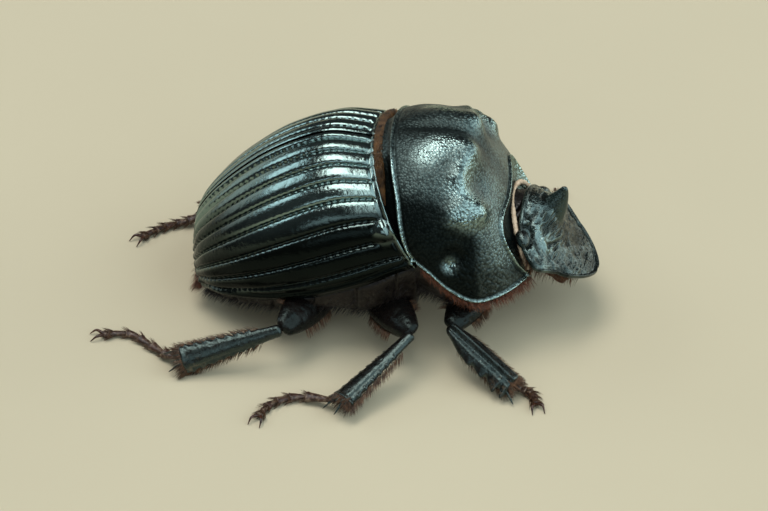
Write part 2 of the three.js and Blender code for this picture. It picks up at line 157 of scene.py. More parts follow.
def travelled(points, axis):
    """How far along a grid each point lies, in millimetres, from the grid's first row or column."""
    steps = np.linalg.norm(np.diff(points, axis=axis), axis=-1)
    return np.pad(np.cumsum(steps, axis=axis), ((1 - axis, 0), (axis, 0)))


def outward(points):
    """Unit normals of a grid of points that bulges round its middle."""
    normal = unit(np.cross(np.gradient(points, axis=0), np.gradient(points, axis=1)))
    return normal * np.sign((normal * (points - points.mean((0, 1)))).sum())


def segment_distance(points, start, stop):
    """How far the points lie from a straight line between two places."""
    start, stop = np.array(start, float), np.array(stop, float)
    run = stop - start
    q = np.clip((points - start) @ run / max(run @ run, 1e-9), 0, 1)
    return np.linalg.norm(points - start - q[..., None] * run, axis=-1)


def border(distance, radius):
    """How far a rounded border has fallen away at a distance from the edge."""
    left = np.clip(radius - distance, 0, radius)
    return radius - np.sqrt(radius**2 - left**2)


def underlaid(surface, rows=4):
    """A grid whose columns go round: back from its last to its first one, straight below the surface."""
    below = np.linspace(surface[:, -1], surface[:, 0], rows + 2)[1:-1].transpose(1, 0, 2)
    return np.concatenate([surface, below], axis=1)


# ---- Making pieces ----
def piece(name, points, faces, material, slot=None, replaces=(), uv=None, shine=None):
    """A finished mesh object from points in millimetres and a list of face arrays, riding on the part.

    shine, one number for each point, tells the material how strongly the cuticle reflects there; painted
    highlights and painted shade are worked into it.
    """
    centred = points - points.mean(0)
    volume = sum(
        np.einsum("ij,ij->", centred[f[:, 0]], np.cross(centred[f[:, k]], centred[f[:, k + 1]]))
        for f in faces
        for k in range(1, f.shape[1] - 1)
    )
    if volume < 0:
        faces = [f[:, ::-1] for f in faces]
        if uv is not None:
            uv = [w[:, ::-1] for w in uv]
    loops = np.concatenate([f.ravel() for f in faces]).astype(np.int32)
    sizes = np.concatenate([np.full(len(f), f.shape[1]) for f in faces])
    mesh = bpy.data.meshes.new(name)
    mesh.vertices.add(len(points))
    mesh.vertices.foreach_set("co", ((points + SEAM_TO_MIDDLE) * MM).astype(np.float32).ravel())
    mesh.loops.add(len(loops))
    mesh.loops.foreach_set("vertex_index", loops)
    mesh.polygons.add(len(sizes))
    mesh.polygons.foreach_set("loop_start", (np.cumsum(sizes) - sizes).astype(np.int32))
    mesh.update(calc_edges=True)
    mesh.polygons.foreach_set("use_smooth", np.ones(len(sizes), bool))
    if uv is not None:
        layer = mesh.uv_layers.new(name="OFBake")
        layer.uv.foreach_set("vector", np.vstack([w.reshape(-1, 2) for w in uv]).astype(np.float32).ravel())
    if shine is not None:
        layer = mesh.attributes.new("shine", "FLOAT", "POINT")
        layer.data.foreach_set("value", shine.astype(np.float32))
    mesh.materials.append(material)
    thing = placed(name, mesh)
    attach(thing, "root")
    if replaces:
        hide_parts(*replaces)


def closed_tube(grid):
    """Points and faces of a tube over rings (rows, around, 3), each end closed by a fan."""
    rows, around = grid.shape[:2]
    points = np.vstack([grid.reshape(-1, 3), grid[0].mean(0), grid[-1].mean(0)])
    c = np.arange(around)
    after = (c + 1) % around
    row = np.arange(rows - 1)[:, None] * around
    last = (rows - 1) * around
    sides = np.stack([row + c, row + after, row + around + after, row + around + c], -1).reshape(-1, 4)
    start_fan = np.stack([np.full(around, rows * around), after, c], -1)
    end_fan = np.stack([np.full(around, rows * around + 1), last + c, last + after], -1)
    return points, [sides, start_fan, end_fan]


def tubes(name, grids, material, shine=None, **given):
    """One piece from a list of closed tubes; shine belongs to the rings of a single tube."""
    points, faces, start = [], [], 0
    for own_points, own_faces in map(closed_tube, grids):
        points.append(own_points)
        faces += [f + start for f in own_faces]
        start += len(own_points)
    if shine is not None:
        shine = np.append(shine.ravel(), [0, 0])
    piece(name, np.vstack(points), faces, material, shine=shine, **given)


def rounded(distance, radius, least=0.02):
    """The share of its full size that a limb has at a distance from its round end."""
    return np.sqrt(np.clip(1 - (1 - np.clip(distance / radius, 0, 1)) ** 2, least, 1))


def ring(around):
    """Angles round a limb, clear of its two edges."""
    return 2 * PI * (np.arange(around) + 0.5) / around


def limb(stations, up, rows, around, half_width, half_height=None, relief=None, blunt_start=False):
    """Rings of a round-ended tube. Its sizes are functions of t, relief(t, angle, length) is a height."""
    t = np.linspace(0, 1, rows)
    centre = through(*stations)(t)
    ahead = unit(np.gradient(centre, axis=0))
    across = unit(np.cross(up, ahead))
    rise = np.cross(ahead, across)
    length = np.linalg.norm(np.diff(centre, axis=0), axis=-1).sum()
    wide, high = half_width(t), (half_height or half_width)(t)
    reach = 0.8 * np.minimum(wide, high) / length
    dome = rounded(1 - t, reach)
    if not blunt_start:
        dome = dome * rounded(t, reach)
    angle = ring(around)
    grid = (
        centre[:, None]
        + across[:, None] * ((wide * dome)[:, None] * np.cos(angle))[..., None]
        + rise[:, None] * ((high * dome)[:, None] * np.sin(angle))[..., None]
    )
    if relief is not None:
        height = relief(t[:, None], angle[None, :], length) * dome[:, None]
        grid = grid + unit(grid - centre[:, None]) * height[..., None]
    return grid


def blob(centre, radii, rows, around, relief=None, turn=np.eye(3)):
    """Rings of an ellipsoid whose poles lie along its own x; relief is (scale, depth, seed) of a noise."""
    lat = np.linspace(0.02, PI - 0.02, rows)[:, None]
    lon = np.linspace(0, 2 * PI, around, endpoint=False)[None, :]
    ball = xyz(-np.cos(lat), np.sin(lat) * np.cos(lon), np.sin(lat) * np.sin(lon))
    grid = ball * np.array(radii)
    if relief is not None:
        scale, depth, seed = relief
        grid = grid + unit(ball / np.array(radii)) * (depth * noise(ball, scale, seed))[..., None]
    return grid @ np.array(turn).T + np.array(centre)


# ---- Materials ----
class Shader:
    """A procedural material, built node by node in the piece's own coordinates, in metres."""

    def __init__(self, name):
        self.material = bpy.data.materials.new(name)
        self.material.use_nodes = True
        self.tree = self.material.node_tree
        self.principled = self.tree.nodes["Principled BSDF"]
        self.place = self.node("TexCoord", "Object")
        self.normal = None

    def give(self, node, sockets):
        """Links each socket to the output that is given for it, or sets it to the number."""
        for key, value in sockets.items():
            if isinstance(value, bpy.types.NodeSocket):
                self.tree.links.new(value, node.inputs[key])
            elif value is not None:
                node.inputs[key].default_value = value

    def node(self, kind, output, sockets=None, **settings):
        """Adds a node with its settings and sockets, and returns one of its outputs."""
        node = self.tree.nodes.new("ShaderNode" + kind)
        for key, value in settings.items():
            setattr(node, key, value)
        self.give(node, sockets or {})
        return node.outputs[output]

    def pattern(self, kind, output, size_mm, stretch, **sockets):
        place = self.place
        if stretch is not None:
            place = self.node("Mapping", "Vector", {"Scale": stretch, "Vector": place})
        return self.node(kind, output, {"Scale": 1 / (size_mm * MM), "Vector": place, **sockets})

    def noise(self, size_mm, detail, stretch=None):
        return self.pattern("TexNoise", "Fac", size_mm, stretch, Detail=detail, Roughness=0.55)

    def cells(self, size_mm, stretch=None):
        return self.pattern("TexVoronoi", "Distance", size_mm, stretch)

    def range(self, value, low, high, to_low, to_high, clamp=True):
        sockets = {"Value": value, "From Min": low, "From Max": high, "To Min": to_low, "To Max": to_high}
        return self.node("MapRange", "Result", sockets, clamp=clamp)

    def multiply(self, a, b):
        return self.node("Math", 0, {0: a, 1: b}, operation="MULTIPLY")

    def mottled(self, size_mm, detail, dark, light, low=0.3, high=0.7):
        """A colour that wanders from dark to light with a noise."""
        output = self.node("ValToRGB", "Color", {"Fac": self.noise(size_mm, detail)})
        for element, place, colour in zip(output.node.color_ramp.elements, (low, high), (dark, light)):
            element.position = place
            element.color = (*colour, 1)
        return output

    def soiled(self, shell, soil, share):
        return self.node("Mix", 2, {0: share, 6: shell, 7: (*soil, 1)}, data_type="RGBA")

    def grained(self, size_mm, detail, least, most):
        """A roughness that wanders between two levels with a noise."""
        return self.range(self.noise(size_mm, detail), 0.3, 0.7, least, most)

    def bump(self, value, depth_mm):
        sockets = {"Distance": depth_mm * MM, "Height": value, "Normal": self.normal}
        self.normal = self.node("Bump", "Normal", sockets)

    def cell_bump(self, size_mm, reach, depth_mm, stretch=None, raised=False):
        """Raised granules or sunk punctures, with slopes of the given reach, and gives the cells back."""
        cells = self.cells(size_mm, stretch)
        self.bump(self.range(cells, 0, reach, int(raised), int(not raised)), depth_mm)
        return cells

    def reflection_from_shine(self, index, dull, painted_shade=None):
        """Takes the strength of the reflection from the piece's `shine`, lessened by painted_shade where that
        is given, and gives the shine back.
        """
        shine = self.node("Attribute", "Fac", attribute_name="shine")
        level = self.range(shine, 0, 1, dull, 1, clamp=False)
        level = self.multiply(level, painted_shade) if painted_shade else level
        self.give(self.principled, {"IOR": index, "Specular IOR Level": level})
        return shine

    def finish(self, colour, roughness, level=None, tint=None):
        sockets = {"Base Color": colour, "Roughness": roughness, "Normal": self.normal}
        self.give(self.principled, {**sockets, "Specular IOR Level": level, "Specular Tint": tint})
        return self.material


COOL = (0.72, 1.0, 0.95, 1)


def cuticle(name, mottle, grain, bumps, cells=None, shine=None, level=None, tint=None):
    """A material with a mottled colour, a grained roughness, and cells and noises as relief.

    Each of the bumps is the depth of a noise, its size and detail, and how it is stretched.
    """
    s = Shader(name)
    if cells is not None:
        s.cell_bump(*cells)
    for depth, *pattern in bumps:
        s.bump(s.noise(*pattern), depth)
    if shine is not None:
        s.reflection_from_shine(*shine)
    return s.finish(s.mottled(*mottle), s.grained(*grain), level, tint)


def pronotum_material():
    s = Shader("pronotum_cuticle")
    granules = s.cell_bump(0.155, 0.6, 0.024, raised=True)
    s.bump(s.noise(0.05, 2), 0.006)
    # Painted shade in the crevices between the granules: the reflection is weaker there.
    shine = s.reflection_from_shine(2.3, 0, s.range(granules, 0.4, 0.75, 1, 0.35))
    colour = s.mottled(1.3, 4, (0.0012, 0.0019, 0.0017), (0.003, 0.0045, 0.0042))
    rough = s.multiply(s.grained(0.3, 4, 0.3, 0.4), s.range(shine, 0.3, 1.1, 1.3, 0.5))
    return s.finish(colour, rough, tint=COOL)


def leg_material(name, level):
    s = Shader(name)
    s.bump(s.noise(0.45, 3), 0.05)
    s.bump(s.noise(0.07, 3), 0.004)
    shell = s.mottled(0.7, 4, (0.0022, 0.0022, 0.0022), (0.009, 0.006, 0.005), high=0.72)
    height = s.node("SeparateXYZ", "Z", {0: s.place})
    low = s.range(height, 0.3 * MM, 1.6 * MM, 1, 0)
    patches = s.range(s.noise(0.35, 4), 0.52, 0.66, 0, 0.6)
    colour = s.soiled(shell, (0.17, 0.12, 0.07), s.multiply(low, patches))
    return s.finish(colour, s.grained(0.2, 4, 0.2, 0.36), level, COOL)


def foot_material():
    s = Shader("foot_cuticle")
    s.bump(s.noise(0.08, 3), 0.012)
    shell = s.mottled(0.3, 4, (0.014, 0.006, 0.004), (0.06, 0.022, 0.012))
    colour = s.soiled(shell, (0.24, 0.17, 0.11), s.range(s.noise(0.2, 4), 0.5, 0.68, 0, 0.75))
    return s.finish(colour, s.grained(0.15, 3, 0.28, 0.55), 0.5)


def bristle_material(name, patch, dark, light):
    return cuticle(name, (patch, 3, dark, light), (0.2, 2, 0.35, 0.55), [(0.003, 0.04, 2)], level=0.5)


ELYTRA = cuticle(
    "elytra_cuticle", (1.6, 4, (0.0010, 0.0014, 0.0012), (0.0024, 0.0030, 0.0024)), (0.25, 4, 0.1, 0.22),
    [(0.005, 0.06, 2), (0.02, 0.5, 3)], cells=(0.34, 0.3, 0.006), shine=(2.0, 0.035), tint=COOL,
)
PRONOTUM = pronotum_material()
HEAD = cuticle(
    "head_cuticle", (0.8, 4, (0.002, 0.003, 0.0025), (0.006, 0.0085, 0.007)), (0.3, 4, 0.15, 0.28),
    [(0.008, 0.06, 3)], cells=(0.12, 0.5, 0.018, (1, 1.6, 1)), shine=(1.68, 0), tint=COOL,
)
UNDERSIDE = cuticle(
    "underside_cuticle", (0.9, 4, (0.002, 0.0014, 0.0012), (0.007, 0.0036, 0.0026)), (0.3, 4, 0.28, 0.5),
    [(0.01, 0.07, 3)], cells=(0.22, 0.5, 0.02), level=0.35,
)
# The thighs and hips reflect far less than the shins, as painted shade under the body.
SHADED_THIGH, SHIN = leg_material("shaded_thigh_cuticle", 0.22), leg_material("shin_cuticle", 0.7)
FOOT = foot_material()
CLAW = cuticle(
    "claw_horn", (0.3, 3, (0.02, 0.007, 0.004), (0.075, 0.026, 0.012)), (0.2, 3, 0.2, 0.35),
    [(0.006, 0.1, 2, (1, 1, 3))], level=0.5,
)
EYE = cuticle(
    "compound_eye", (0.3, 3, (0.002, 0.0016, 0.0015), (0.008, 0.005, 0.004)), (0.3, 2, 0.1, 0.18), [],
    cells=(0.07, 0.6, 0.01, None, True), level=0.9, tint=COOL,
)
FEELER = cuticle(
    "feeler_cuticle", (0.3, 3, (0.06, 0.02, 0.008), (0.15, 0.06, 0.025)), (0.15, 3, 0.4, 0.6),
    [(0.008, 0.06, 3)], level=0.4,
)
MEMBRANE = cuticle(
    "joint_membrane", (0.35, 4, (0.42, 0.28, 0.17), (0.8, 0.63, 0.46), 0.25, 0.75), (0.3, 3, 0.25, 0.45),
    [(0.02, 0.12, 3, (1, 3, 1))], level=0.5,
)
RUSTY = bristle_material("rusty_bristles", 0.14, (0.006, 0.0025, 0.0015), (0.27, 0.08, 0.03))
VELVET = bristle_material("velvet", 0.6, (0.01, 0.005, 0.0025), (0.23, 0.112, 0.037))
TAWNY = bristle_material("tawny_bristles", 0.25, (0.03, 0.014, 0.007), (0.17, 0.085, 0.04))
# The belly's bristles are rusty darkened far down, as painted shade under the body.
SHADED_BELLY_BRISTLES = bristle_material("shaded_belly_bristles", 0.25, (0.004, 0.002, 0.0014), (0.018, 0.007, 0.004))

# ---- Lines that carry the plates of the back ----
elytron_back = through(
    (-1.75, 0, 11.3), (-4.3, 0, 11.4), (-7.3, 0, 10.0), (-10.0, 0, 7.75), (-11.8, 0, 5.4), (-12.2, 0, 3.5)
)
elytron_side = through(
    (0.75, 5.9, 7.05), (-1.5, 6.3, 6.1), (-4.5, 6.4, 4.95), (-7.4, 5.8, 3.8), (-10.0, 4.5, 2.7),
    (-11.5, 3.1, 2.05),
)
pronotum_back = through(
    (-1.5, 0, 11.35), (0.6, 0, 12.1), (2.6, 0, 12.2), (4.2, 0, 11.5), (5.55, 0, 9.6), (6.6, 0, 7.75)
)
pronotum_side = through(
    (1.1, 5.85, 7.1), (2.2, 6.15, 6.45), (3.4, 6.3, 5.45), (4.9, 6.3, 4.75), (6.5, 5.3, 4.65),
    (7.85, 3.6, 4.7),
)
ELYTRON_WRAP, PRONOTUM_WRAP = 1.75, 1.62
SUTURE_GAP = 0.02
STRIAE = (0.055, 0.145, 0.24, 0.345, 0.46, 0.6, 0.74, 0.87)


def on_arch(back, side, angle):
    """Points of the arch that springs from the side line and passes through the back line."""
    rise = np.cos(angle)
    points = side + (back - side) * rise[..., None]
    points[..., 1] = side[..., 1] * np.sin(angle)
    return points


# ---- Elytra ----
EL_ROWS, EL_PER_RIDGE = 310, 24
STRIA_RIDGE_HEIGHT = 0.12
PUNCTURE_SPACING = 0.41
BASE_OVERHANG = 0.36
CALLUS = np.array([-0.35, 5.42, 8.5])


def elytron(side_name, side):
    evenly = np.linspace(0, 1, EL_PER_RIDGE, endpoint=False)
    eased = 0.5 * evenly + 0.25 * (1 - np.cos(PI * evenly))
    edges = np.array([0.0, *STRIAE, 1.0])
    share = np.concatenate([a + (b - a) * eased for a, b in zip(edges[:-1], edges[1:])] + [[1.0]])
    t = np.linspace(0, 1, EL_ROWS)
    t = 0.88 * t + 0.12 * t**2
    T, S = np.meshgrid(t, share, indexing="ij")
    base = on_arch(elytron_back(T), elytron_side(T), S * ELYTRON_WRAP)
    base[..., 0] += BASE_OVERHANG * (1 - smooth(0.0, 0.13, T))
    base[..., 1] = np.maximum(base[..., 1], SUTURE_GAP)
    run, across = travelled(base, 0), travelled(base, 1)
    per_share = np.gradient(across, axis=1) / np.gradient(share)[None, :]

    from_callus = np.linalg.norm(base - CALLUS, axis=-1)
    fade = smooth(0.6, 1.2, from_callus) * smooth(0.25, 0.65, run) * (1 - 0.6 * smooth(0.9, 1.0, T))
    # The shine here is painted shade and painted highlight: it dies away on the lower flank and towards the
    # rear, and is raised beside each stria, on the callus and along the rim at the base.
    shine = 1.18 * (1 - smooth(0.46, 0.6, S)) * (1 - 0.9 * smooth(0.4, 0.7, T) * smooth(0.12, 0.3, S))
    k = np.clip(np.searchsorted(edges, S, side="right") - 1, 0, len(edges) - 2)
    within = (S - edges[k]) / (edges[k + 1] - edges[k])
    ridge = -STRIA_RIDGE_HEIGHT * np.abs(2 * within - 1) ** 2.4 * np.minimum(1, per_share / 9)
    height = ridge * (0.35 + 0.65 * fade)
    for number, at in enumerate(STRIAE):
        off = (S - at) * per_share
        turn = run / PUNCTURE_SPACING + 0.37 * number
        cell = np.round(turn)
        jitter = 0.25 * (dice(number + 5, cell) - 0.5)
        on_line = (turn - cell + jitter) * PUNCTURE_SPACING
        wobble = 0.03 * (dice(number + 25, cell) - 0.5)
        wide = 0.1 + 0.02 * hump(on_line, 0.13)
        height -= fade * 0.11 * hump(off, wide)
        shine = np.maximum(shine, 0.8 * hump(off - 0.1, 0.12) * (1 - 0.7 * smooth(0.55, 0.75, S)))
        height -= fade * 0.05 * hump(on_line, 0.085) * hump(off + wobble, 0.1)
    height -= 0.008 * pits(run, across, 0.42, 0.07, 40, 0.7) * fade
    height += 0.02 * noise(base, 1.4, 3) * smooth(0.2, 1.0, run)
    height += 0.32 * np.exp(-((from_callus / 0.58) ** 3))
    on_callus = (1 - smooth(0.6, 0.9, from_callus)) * smooth(8.2, 8.7, base[..., 2])
    shine = np.maximum(shine, np.maximum(on_callus, hump(run - 0.1, 0.12)))
    # The raised rim round the plate's base, its beaded side edge, and rounded borders all round.
    height += 0.07 * hump(run - 0.13, 0.09) - 0.07 * hump(run - 0.36, 0.12)
    from_side = (1 - S) * per_share
    height += 0.07 * hump(from_side - 0.5, 0.1) - 0.05 * hump(from_side - 0.75, 0.12)
    from_tip = travelled(base[::-1], 0)[::-1]
    for distance, radius in ((run, 0.13), (across, 0.05), (from_side, 0.15), (from_tip, 0.15)):
        height -= border(distance, radius)
    surface = base + outward(base) * height[..., None]
    surface[..., 1] = np.maximum(surface[..., 1], SUTURE_GAP)
    floor = surface[:, -1].copy()
    floor[:, 0] = elytron_side(t)[:, 0] + BASE_OVERHANG * (1 - smooth(0.0, 0.13, t))
    floor[:, 1] = SUTURE_GAP
    floor_mid = (surface[:, -1] + floor) / 2 + [0, 0, 0.3]
    rings = np.concatenate([surface, floor_mid[:, None], floor[:, None]], axis=1)
    rings[..., 1] *= side
    shine = np.pad(shine, ((0, 0), (0, 2)))
    replaced = [f"elytron_{side_name}"]
    tubes(f"elytron_{side_name}_shell", [rings], ELYTRA, shine, slot="elytra", replaces=replaced)


# ---- Pronotum ----
PN_ROWS, PN_ACROSS = 224, 440
# Local swellings and pits of the left half. Each spreads round the line between two places, and is
# steeper-sided the sharper it is: places, radius, height, sharpness, direction.
PRONOTUM_FORMS = (
    # The lobe beside the mid groove, its front corner, and its low ridge towards the back.
    ((3.9, 1.3, 11.6), (3.9, 1.3, 11.6), 1.1, 0.42, 2, (0.35, 0, 0.94)),
    ((4.4, 1.3, 11.3), (4.4, 1.3, 11.3), 0.6, 0.12, 2, (0.7, 0, 0.7)),
    ((2.2, 1.4, 11.9), (2.2, 1.4, 11.9), 1.3, 0.16, 2, (0, 0, 1)),
    # The shoulder, which curves in on its way from the lobe to the tubercle.
    ((4.1, 1.7, 11.3), (3.6, 3.2, 10.95), 0.6, 0.17, 2, (0.3, 0.2, 0.93)),
    ((3.6, 3.2, 10.95), (3.9, 4.15, 10.1), 0.6, 0.17, 2, (0.3, 0.4, 0.85)),
    ((4.75, 2.7, 10.3), (4.75, 2.7, 10.3), 0.85, -0.25, 2, (0.7, 0, 0.7)),
    # The blunt tubercle, its steeper front end, and the hollow below it.
    ((3.6, 4.9, 9.5), (4.8, 4.2, 9.3), 0.85, 0.3, 3, (0.4, 0.55, 0.7)),
    ((4.85, 4.15, 9.2), (4.85, 4.15, 9.2), 0.55, 0.2, 3, (0.7, 0.4, 0.5)),
    ((4.25, 5.75, 8.0), (4.4, 6.0, 7.3), 0.55, -0.2, 2, (0.3, 0.8, 0.4)),
    # The pit in the flank.
    ((3.6, 6.0, 7.3), (3.4, 6.1, 7.0), 0.6, -0.42, 3, (0, 1, 0.2)),
)


# The line of painted highlight, a stronger reflection, from the rear of a lobe round its front corner and
# down the shoulder to the tubercle.
PAINTED_HIGHLIGHT_LINE = ((1.7, 2.3, 11.8), (2.6, 1.6, 12.1), (4.1, 1.0, 11.7), (3.6, 3.7, 10.65), (4.5, 4.3, 9.6))


def bead_line(share):
    """The length share at which the hind bead of the pronotum crosses a given share of its width."""
    return 0.098 - 0.085 * smooth(0.45, 1.0, np.abs(share))


def front_line(share):
    """The length share at which the front edge crosses: it is drawn back in a shallow bay at each side."""
    away = np.abs(share)
    return 1 - 0.03 * (1 - smooth(0.8, 1.0, away)) - 0.11 * hump(away - 0.5, 0.25)


def pronotum_surface(T, S):
    """The plate's form without its fine relief."""
    base = on_arch(pronotum_back(T), pronotum_side(T), S * PRONOTUM_WRAP)
    moved = base.copy()
    for start, stop, radius, height, sharp, towards in PRONOTUM_FORMS:
        for side in (-1, 1):
            mirror = np.array([1, side, 1])
            distance = segment_distance(base, start * mirror, stop * mirror)
            swelling = height * np.exp(-((distance / radius) ** sharp))
            moved += towards * mirror * swelling[..., None]
    in_groove = smooth(-0.4, 1.6, base[..., 0]) * (1 - smooth(4.2, 5.8, base[..., 0]))
    upper = base[..., 2] > pronotum_side(T)[..., 2]
    moved[..., 2] -= 0.28 * in_groove * hump(base[..., 1], 0.5) * upper
    return moved


def pronotum():
    T, S = np.meshgrid(np.linspace(0, 1, PN_ROWS), np.linspace(-1, 1, PN_ACROSS), indexing="ij")
    T = T * front_line(S)
    wide = np.abs(S)
    form = pronotum_surface(T, S)
    run, across = travelled(form, 0), travelled(form, 1)
    middle = across - across[:, [PN_ACROSS // 2]]
    length, width = run[-1], across[:, [-1]]
    per_length = np.gradient(run, axis=0) / np.gradient(T, axis=0)
    behind = (bead_line(S) - T) * per_length
    from_front = length[None, :] - run
    from_side = np.minimum(across, width - across)
    flank = smooth(0.55, 0.85, wide)

    # Painted shade weakens the reflection on the flanks, all but the pit; the crown and the steep front
    # reflect less than the lobes.
    rear_flank = smooth(0.42, 0.56, wide) * (1 - smooth(0.36, 0.5, T))
    hollow = smooth(0.57, 0.64, wide) * (1 - smooth(0.6, 0.7, T))
    low = 0.6 * smooth(0.72, 0.84, wide)
    mirrored = xyz(form[..., 0], np.abs(form[..., 1]), form[..., 2])
    # Painted highlights strengthen the reflection along that line and over the tubercle.
    stretches = zip(PAINTED_HIGHLIGHT_LINE[:-1], PAINTED_HIGHLIGHT_LINE[1:])
    from_highlight_line = np.min([segment_distance(mirrored, a, b) for a, b in stretches], axis=0)
    from_knob = segment_distance(mirrored, (3.7, 5.1, 9.6), (4.9, 4.3, 9.4))
    painted_highlight = np.maximum(hump(from_highlight_line, 0.65), hump(from_knob, 0.9))
    shine = 0.3 + 0.24 * smooth(0.68, 0.8, T) + 1.05 * painted_highlight
    dull = np.maximum(rear_flank, np.maximum(hollow, low))
    shine *= (1 - 0.9 * dull) * (0.6 + 0.4 * smooth(0.06, 0.14, wide))
    # The pit reflects strongly, as a painted highlight.
    from_pit = np.linalg.norm(mirrored - [3.4, 6.0, 6.75], axis=-1)
    shine = np.maximum(shine, 1.8 * hump(from_pit, 0.34))
    height = -0.012 * pits(run, middle, 0.2, 0.075, 60) * (1 - 0.4 * flank) * (1 - 0.4 * smooth(0.5, 0.8, T))
    coarse = flank * smooth(0.3, 0.5, T) * (1 - smooth(0.75, 0.9, T))
    height -= 0.07 * pits(run, middle, 0.5, 0.13, 70, 0.75) * coarse
    height += 0.008 * noise(form, 0.5, 5) + 0.02 * noise(form, 1.2, 6)
    height *= smooth(0.15, 0.7, from_front) * smooth(0.15, 0.7, from_side) * smooth(0.15, 0.4, -behind)
    # A bead runs along the front and sides, and another crosses just before the hind border; the beads
    # reflect strongly, as painted highlights.
    for distance in (from_front, from_side):
        height += 0.09 * hump(distance - 0.09, 0.075) - 0.09 * hump(distance - 0.26, 0.09)
        height -= border(distance, 0.07)
        shine = np.maximum(shine, 1.8 * hump(distance - 0.07, 0.1))
    height += 0.09 * hump(behind, 0.075) - 0.08 * hump(behind + 0.19, 0.09)
    sunk = smooth(0.17, 0.3, wide)
    height -= (0.1 + 0.4 * sunk) * smooth(0.05, 0.42, behind)
    # The hind bead reflects strongly as a painted highlight, and the sunk strip behind it at the sides hardly
    # reflects, as painted shade.
    shine = np.maximum(shine, (0.6 + 1.4 * sunk) * hump(behind, 0.1))
    shine *= 1 - 0.97 * sunk * smooth(0.06, 0.14, behind)
    rings = underlaid(form + outward(form) * height[..., None])
    shine = np.pad(shine, ((0, 0), (0, 4)))
    tubes("pronotum_shield", [rings], PRONOTUM, shine, slot="pronotum", replaces=["pronotum"])


def front_membrane():
    """The pale soft band that shows between the front edge of the pronotum and the head."""
    share = np.linspace(-0.95, 0.95, 200)
    edge = pronotum_surface(np.full_like(share, 1.0), share)
    ahead = unit(edge - pronotum_surface(np.full_like(share, 0.93), share))
    across = unit(np.cross(np.gradient(edge, axis=0), ahead))
    centre = edge + unit([6.4, 0, 5.5] - edge) * 0.22
    angle = 2 * PI * np.arange(20) / 20
    ripple = 1 + 0.06 * np.sin(share[:, None] * 110) + 0.05 * np.sin(share[:, None] * 47)
    ripple = ripple * (0.45 + 0.55 * smooth(0.08, 0.3, np.abs(share)))[:, None]
    rings = (
        centre[:, None]
        + ahead[:, None] * (0.145 * np.cos(angle) * ripple)[..., None]
        + across[:, None] * (0.14 * np.sin(angle) * ripple)[..., None]
    )
    tubes("front_membrane", [rings], MEMBRANE)


# ---- Underside ----
BELLY_Z = 1.35
KEEL_ROWS, KEEL_ACROSS = 90, 110
ELYTRAL = (elytron_back, elytron_side, ELYTRON_WRAP)
PRONOTAL = (pronotum_back, pronotum_side, PRONOTUM_WRAP)
# Each plate of the underside: the arch it hangs from, its ends, its lowest line and its fullness.
BREAST_FRONT = (PRONOTAL, 0.02, 0.98, lambda s: BELLY_Z + 1.25 + 0.9 * s**2, 0.75)
BREAST_REAR = (ELYTRAL, 0, 0.43, lambda s: BELLY_Z + 0.75 * (1 - np.sin(PI * np.minimum(1, s + 0.15))), 0.6)
BELLY = (ELYTRAL, 0.445, 0.97, lambda s: BELLY_Z + 0.15 + 0.1 * s, 0.6)


def on_keel(plate, s, angle):
    """Points of a plate at shares s of its length and angles from its left edge, under, to its right edge."""
    (back, side, wrap), start, stop, lowest, fullness = plate
    t = start + (stop - start) * s
    edge = on_arch(back(t), side(t), np.full_like(t, wrap))
    top = edge[..., 2] - 0.08
    c = np.cos(angle)
    y = 0.93 * edge[..., 1] * np.sign(c) * np.abs(c) ** fullness
    z = top - (top - lowest(s)) * np.abs(np.sin(angle)) ** fullness
    return xyz(edge[..., 0], y, z)


def keel(name, node, plate, sutures, lap=0.0):
    """A plate of the underside; its front end laps the plate ahead."""
    s = np.linspace(0, 1, KEEL_ROWS)
    angle = PI * np.linspace(0, 1, KEEL_ACROSS)
    grid = on_keel(plate, *np.meshgrid(s, angle, indexing="ij"))
    top = grid[:, 0, 2]
    grid[..., 0] += lap * (1 - smooth(0.0, 0.08, s))[:, None]
    y, z = grid[..., 1], grid[..., 2]
    inward = unit(xyz(0, -y, top[:, None] - z + 0.2))
    run, across = travelled(grid, 0), travelled(grid, 1)
    sunk = 0.05 * pits(run, across, 0.5, 0.13, 90, 0.8)
    for place in sutures:
        line = s[:, None] - place - 0.02 * np.cos(angle)[None, :] ** 2
        sunk = sunk + 0.13 * hump(line, 0.02) - 0.05 * hump(line + 0.045, 0.03)
    sunk = sunk + 0.08 * noise(grid, 1.1, 12)
    grid = underlaid(grid + inward * sunk[..., None])
    tubes(name, [grid], UNDERSIDE, slot="underside", replaces=[node])


# ---- Head ----
HEAD_AT = Vector((7.24, 0.21, 6.97))
HEAD_ROLL, HEAD_PITCH, HEAD_YAW = -0.18, 0.69, -0.26
HEAD_TURN = np.array(
    Matrix.Rotation(HEAD_YAW, 3, "Z")
    @ Matrix.Rotation(HEAD_PITCH, 3, "Y")
    @ Matrix.Rotation(HEAD_ROLL, 3, "X")
)
GENA_AT, HEAD_HALF_WIDTH, CLYPEUS_LENGTH, NAPE_LENGTH = 2.0, 3.8, 4.0, 2.45
HEAD_TAPER = 1.2
HEAD_ROWS, HEAD_AROUND = 140, 420
EYE_AT, EYE_RADII, EYE_TURN = (0.95, 2.8, -0.36), (0.44, 0.68, 0.42), -0.6


def from_head(points):
    """Points of the head's own frame (x forward on the face, z off it) in the beetle's frame."""
    return np.asarray(points) @ HEAD_TURN.T + np.array(HEAD_AT)


def face_height(x, y):
    across = y / HEAD_HALF_WIDTH
    brow = 1.25 * hump(x - 1.1, 1.75) * hump(across, 0.55)
    return brow - across**2 * (0.4 + 0.25 * np.maximum(0, GENA_AT - x))


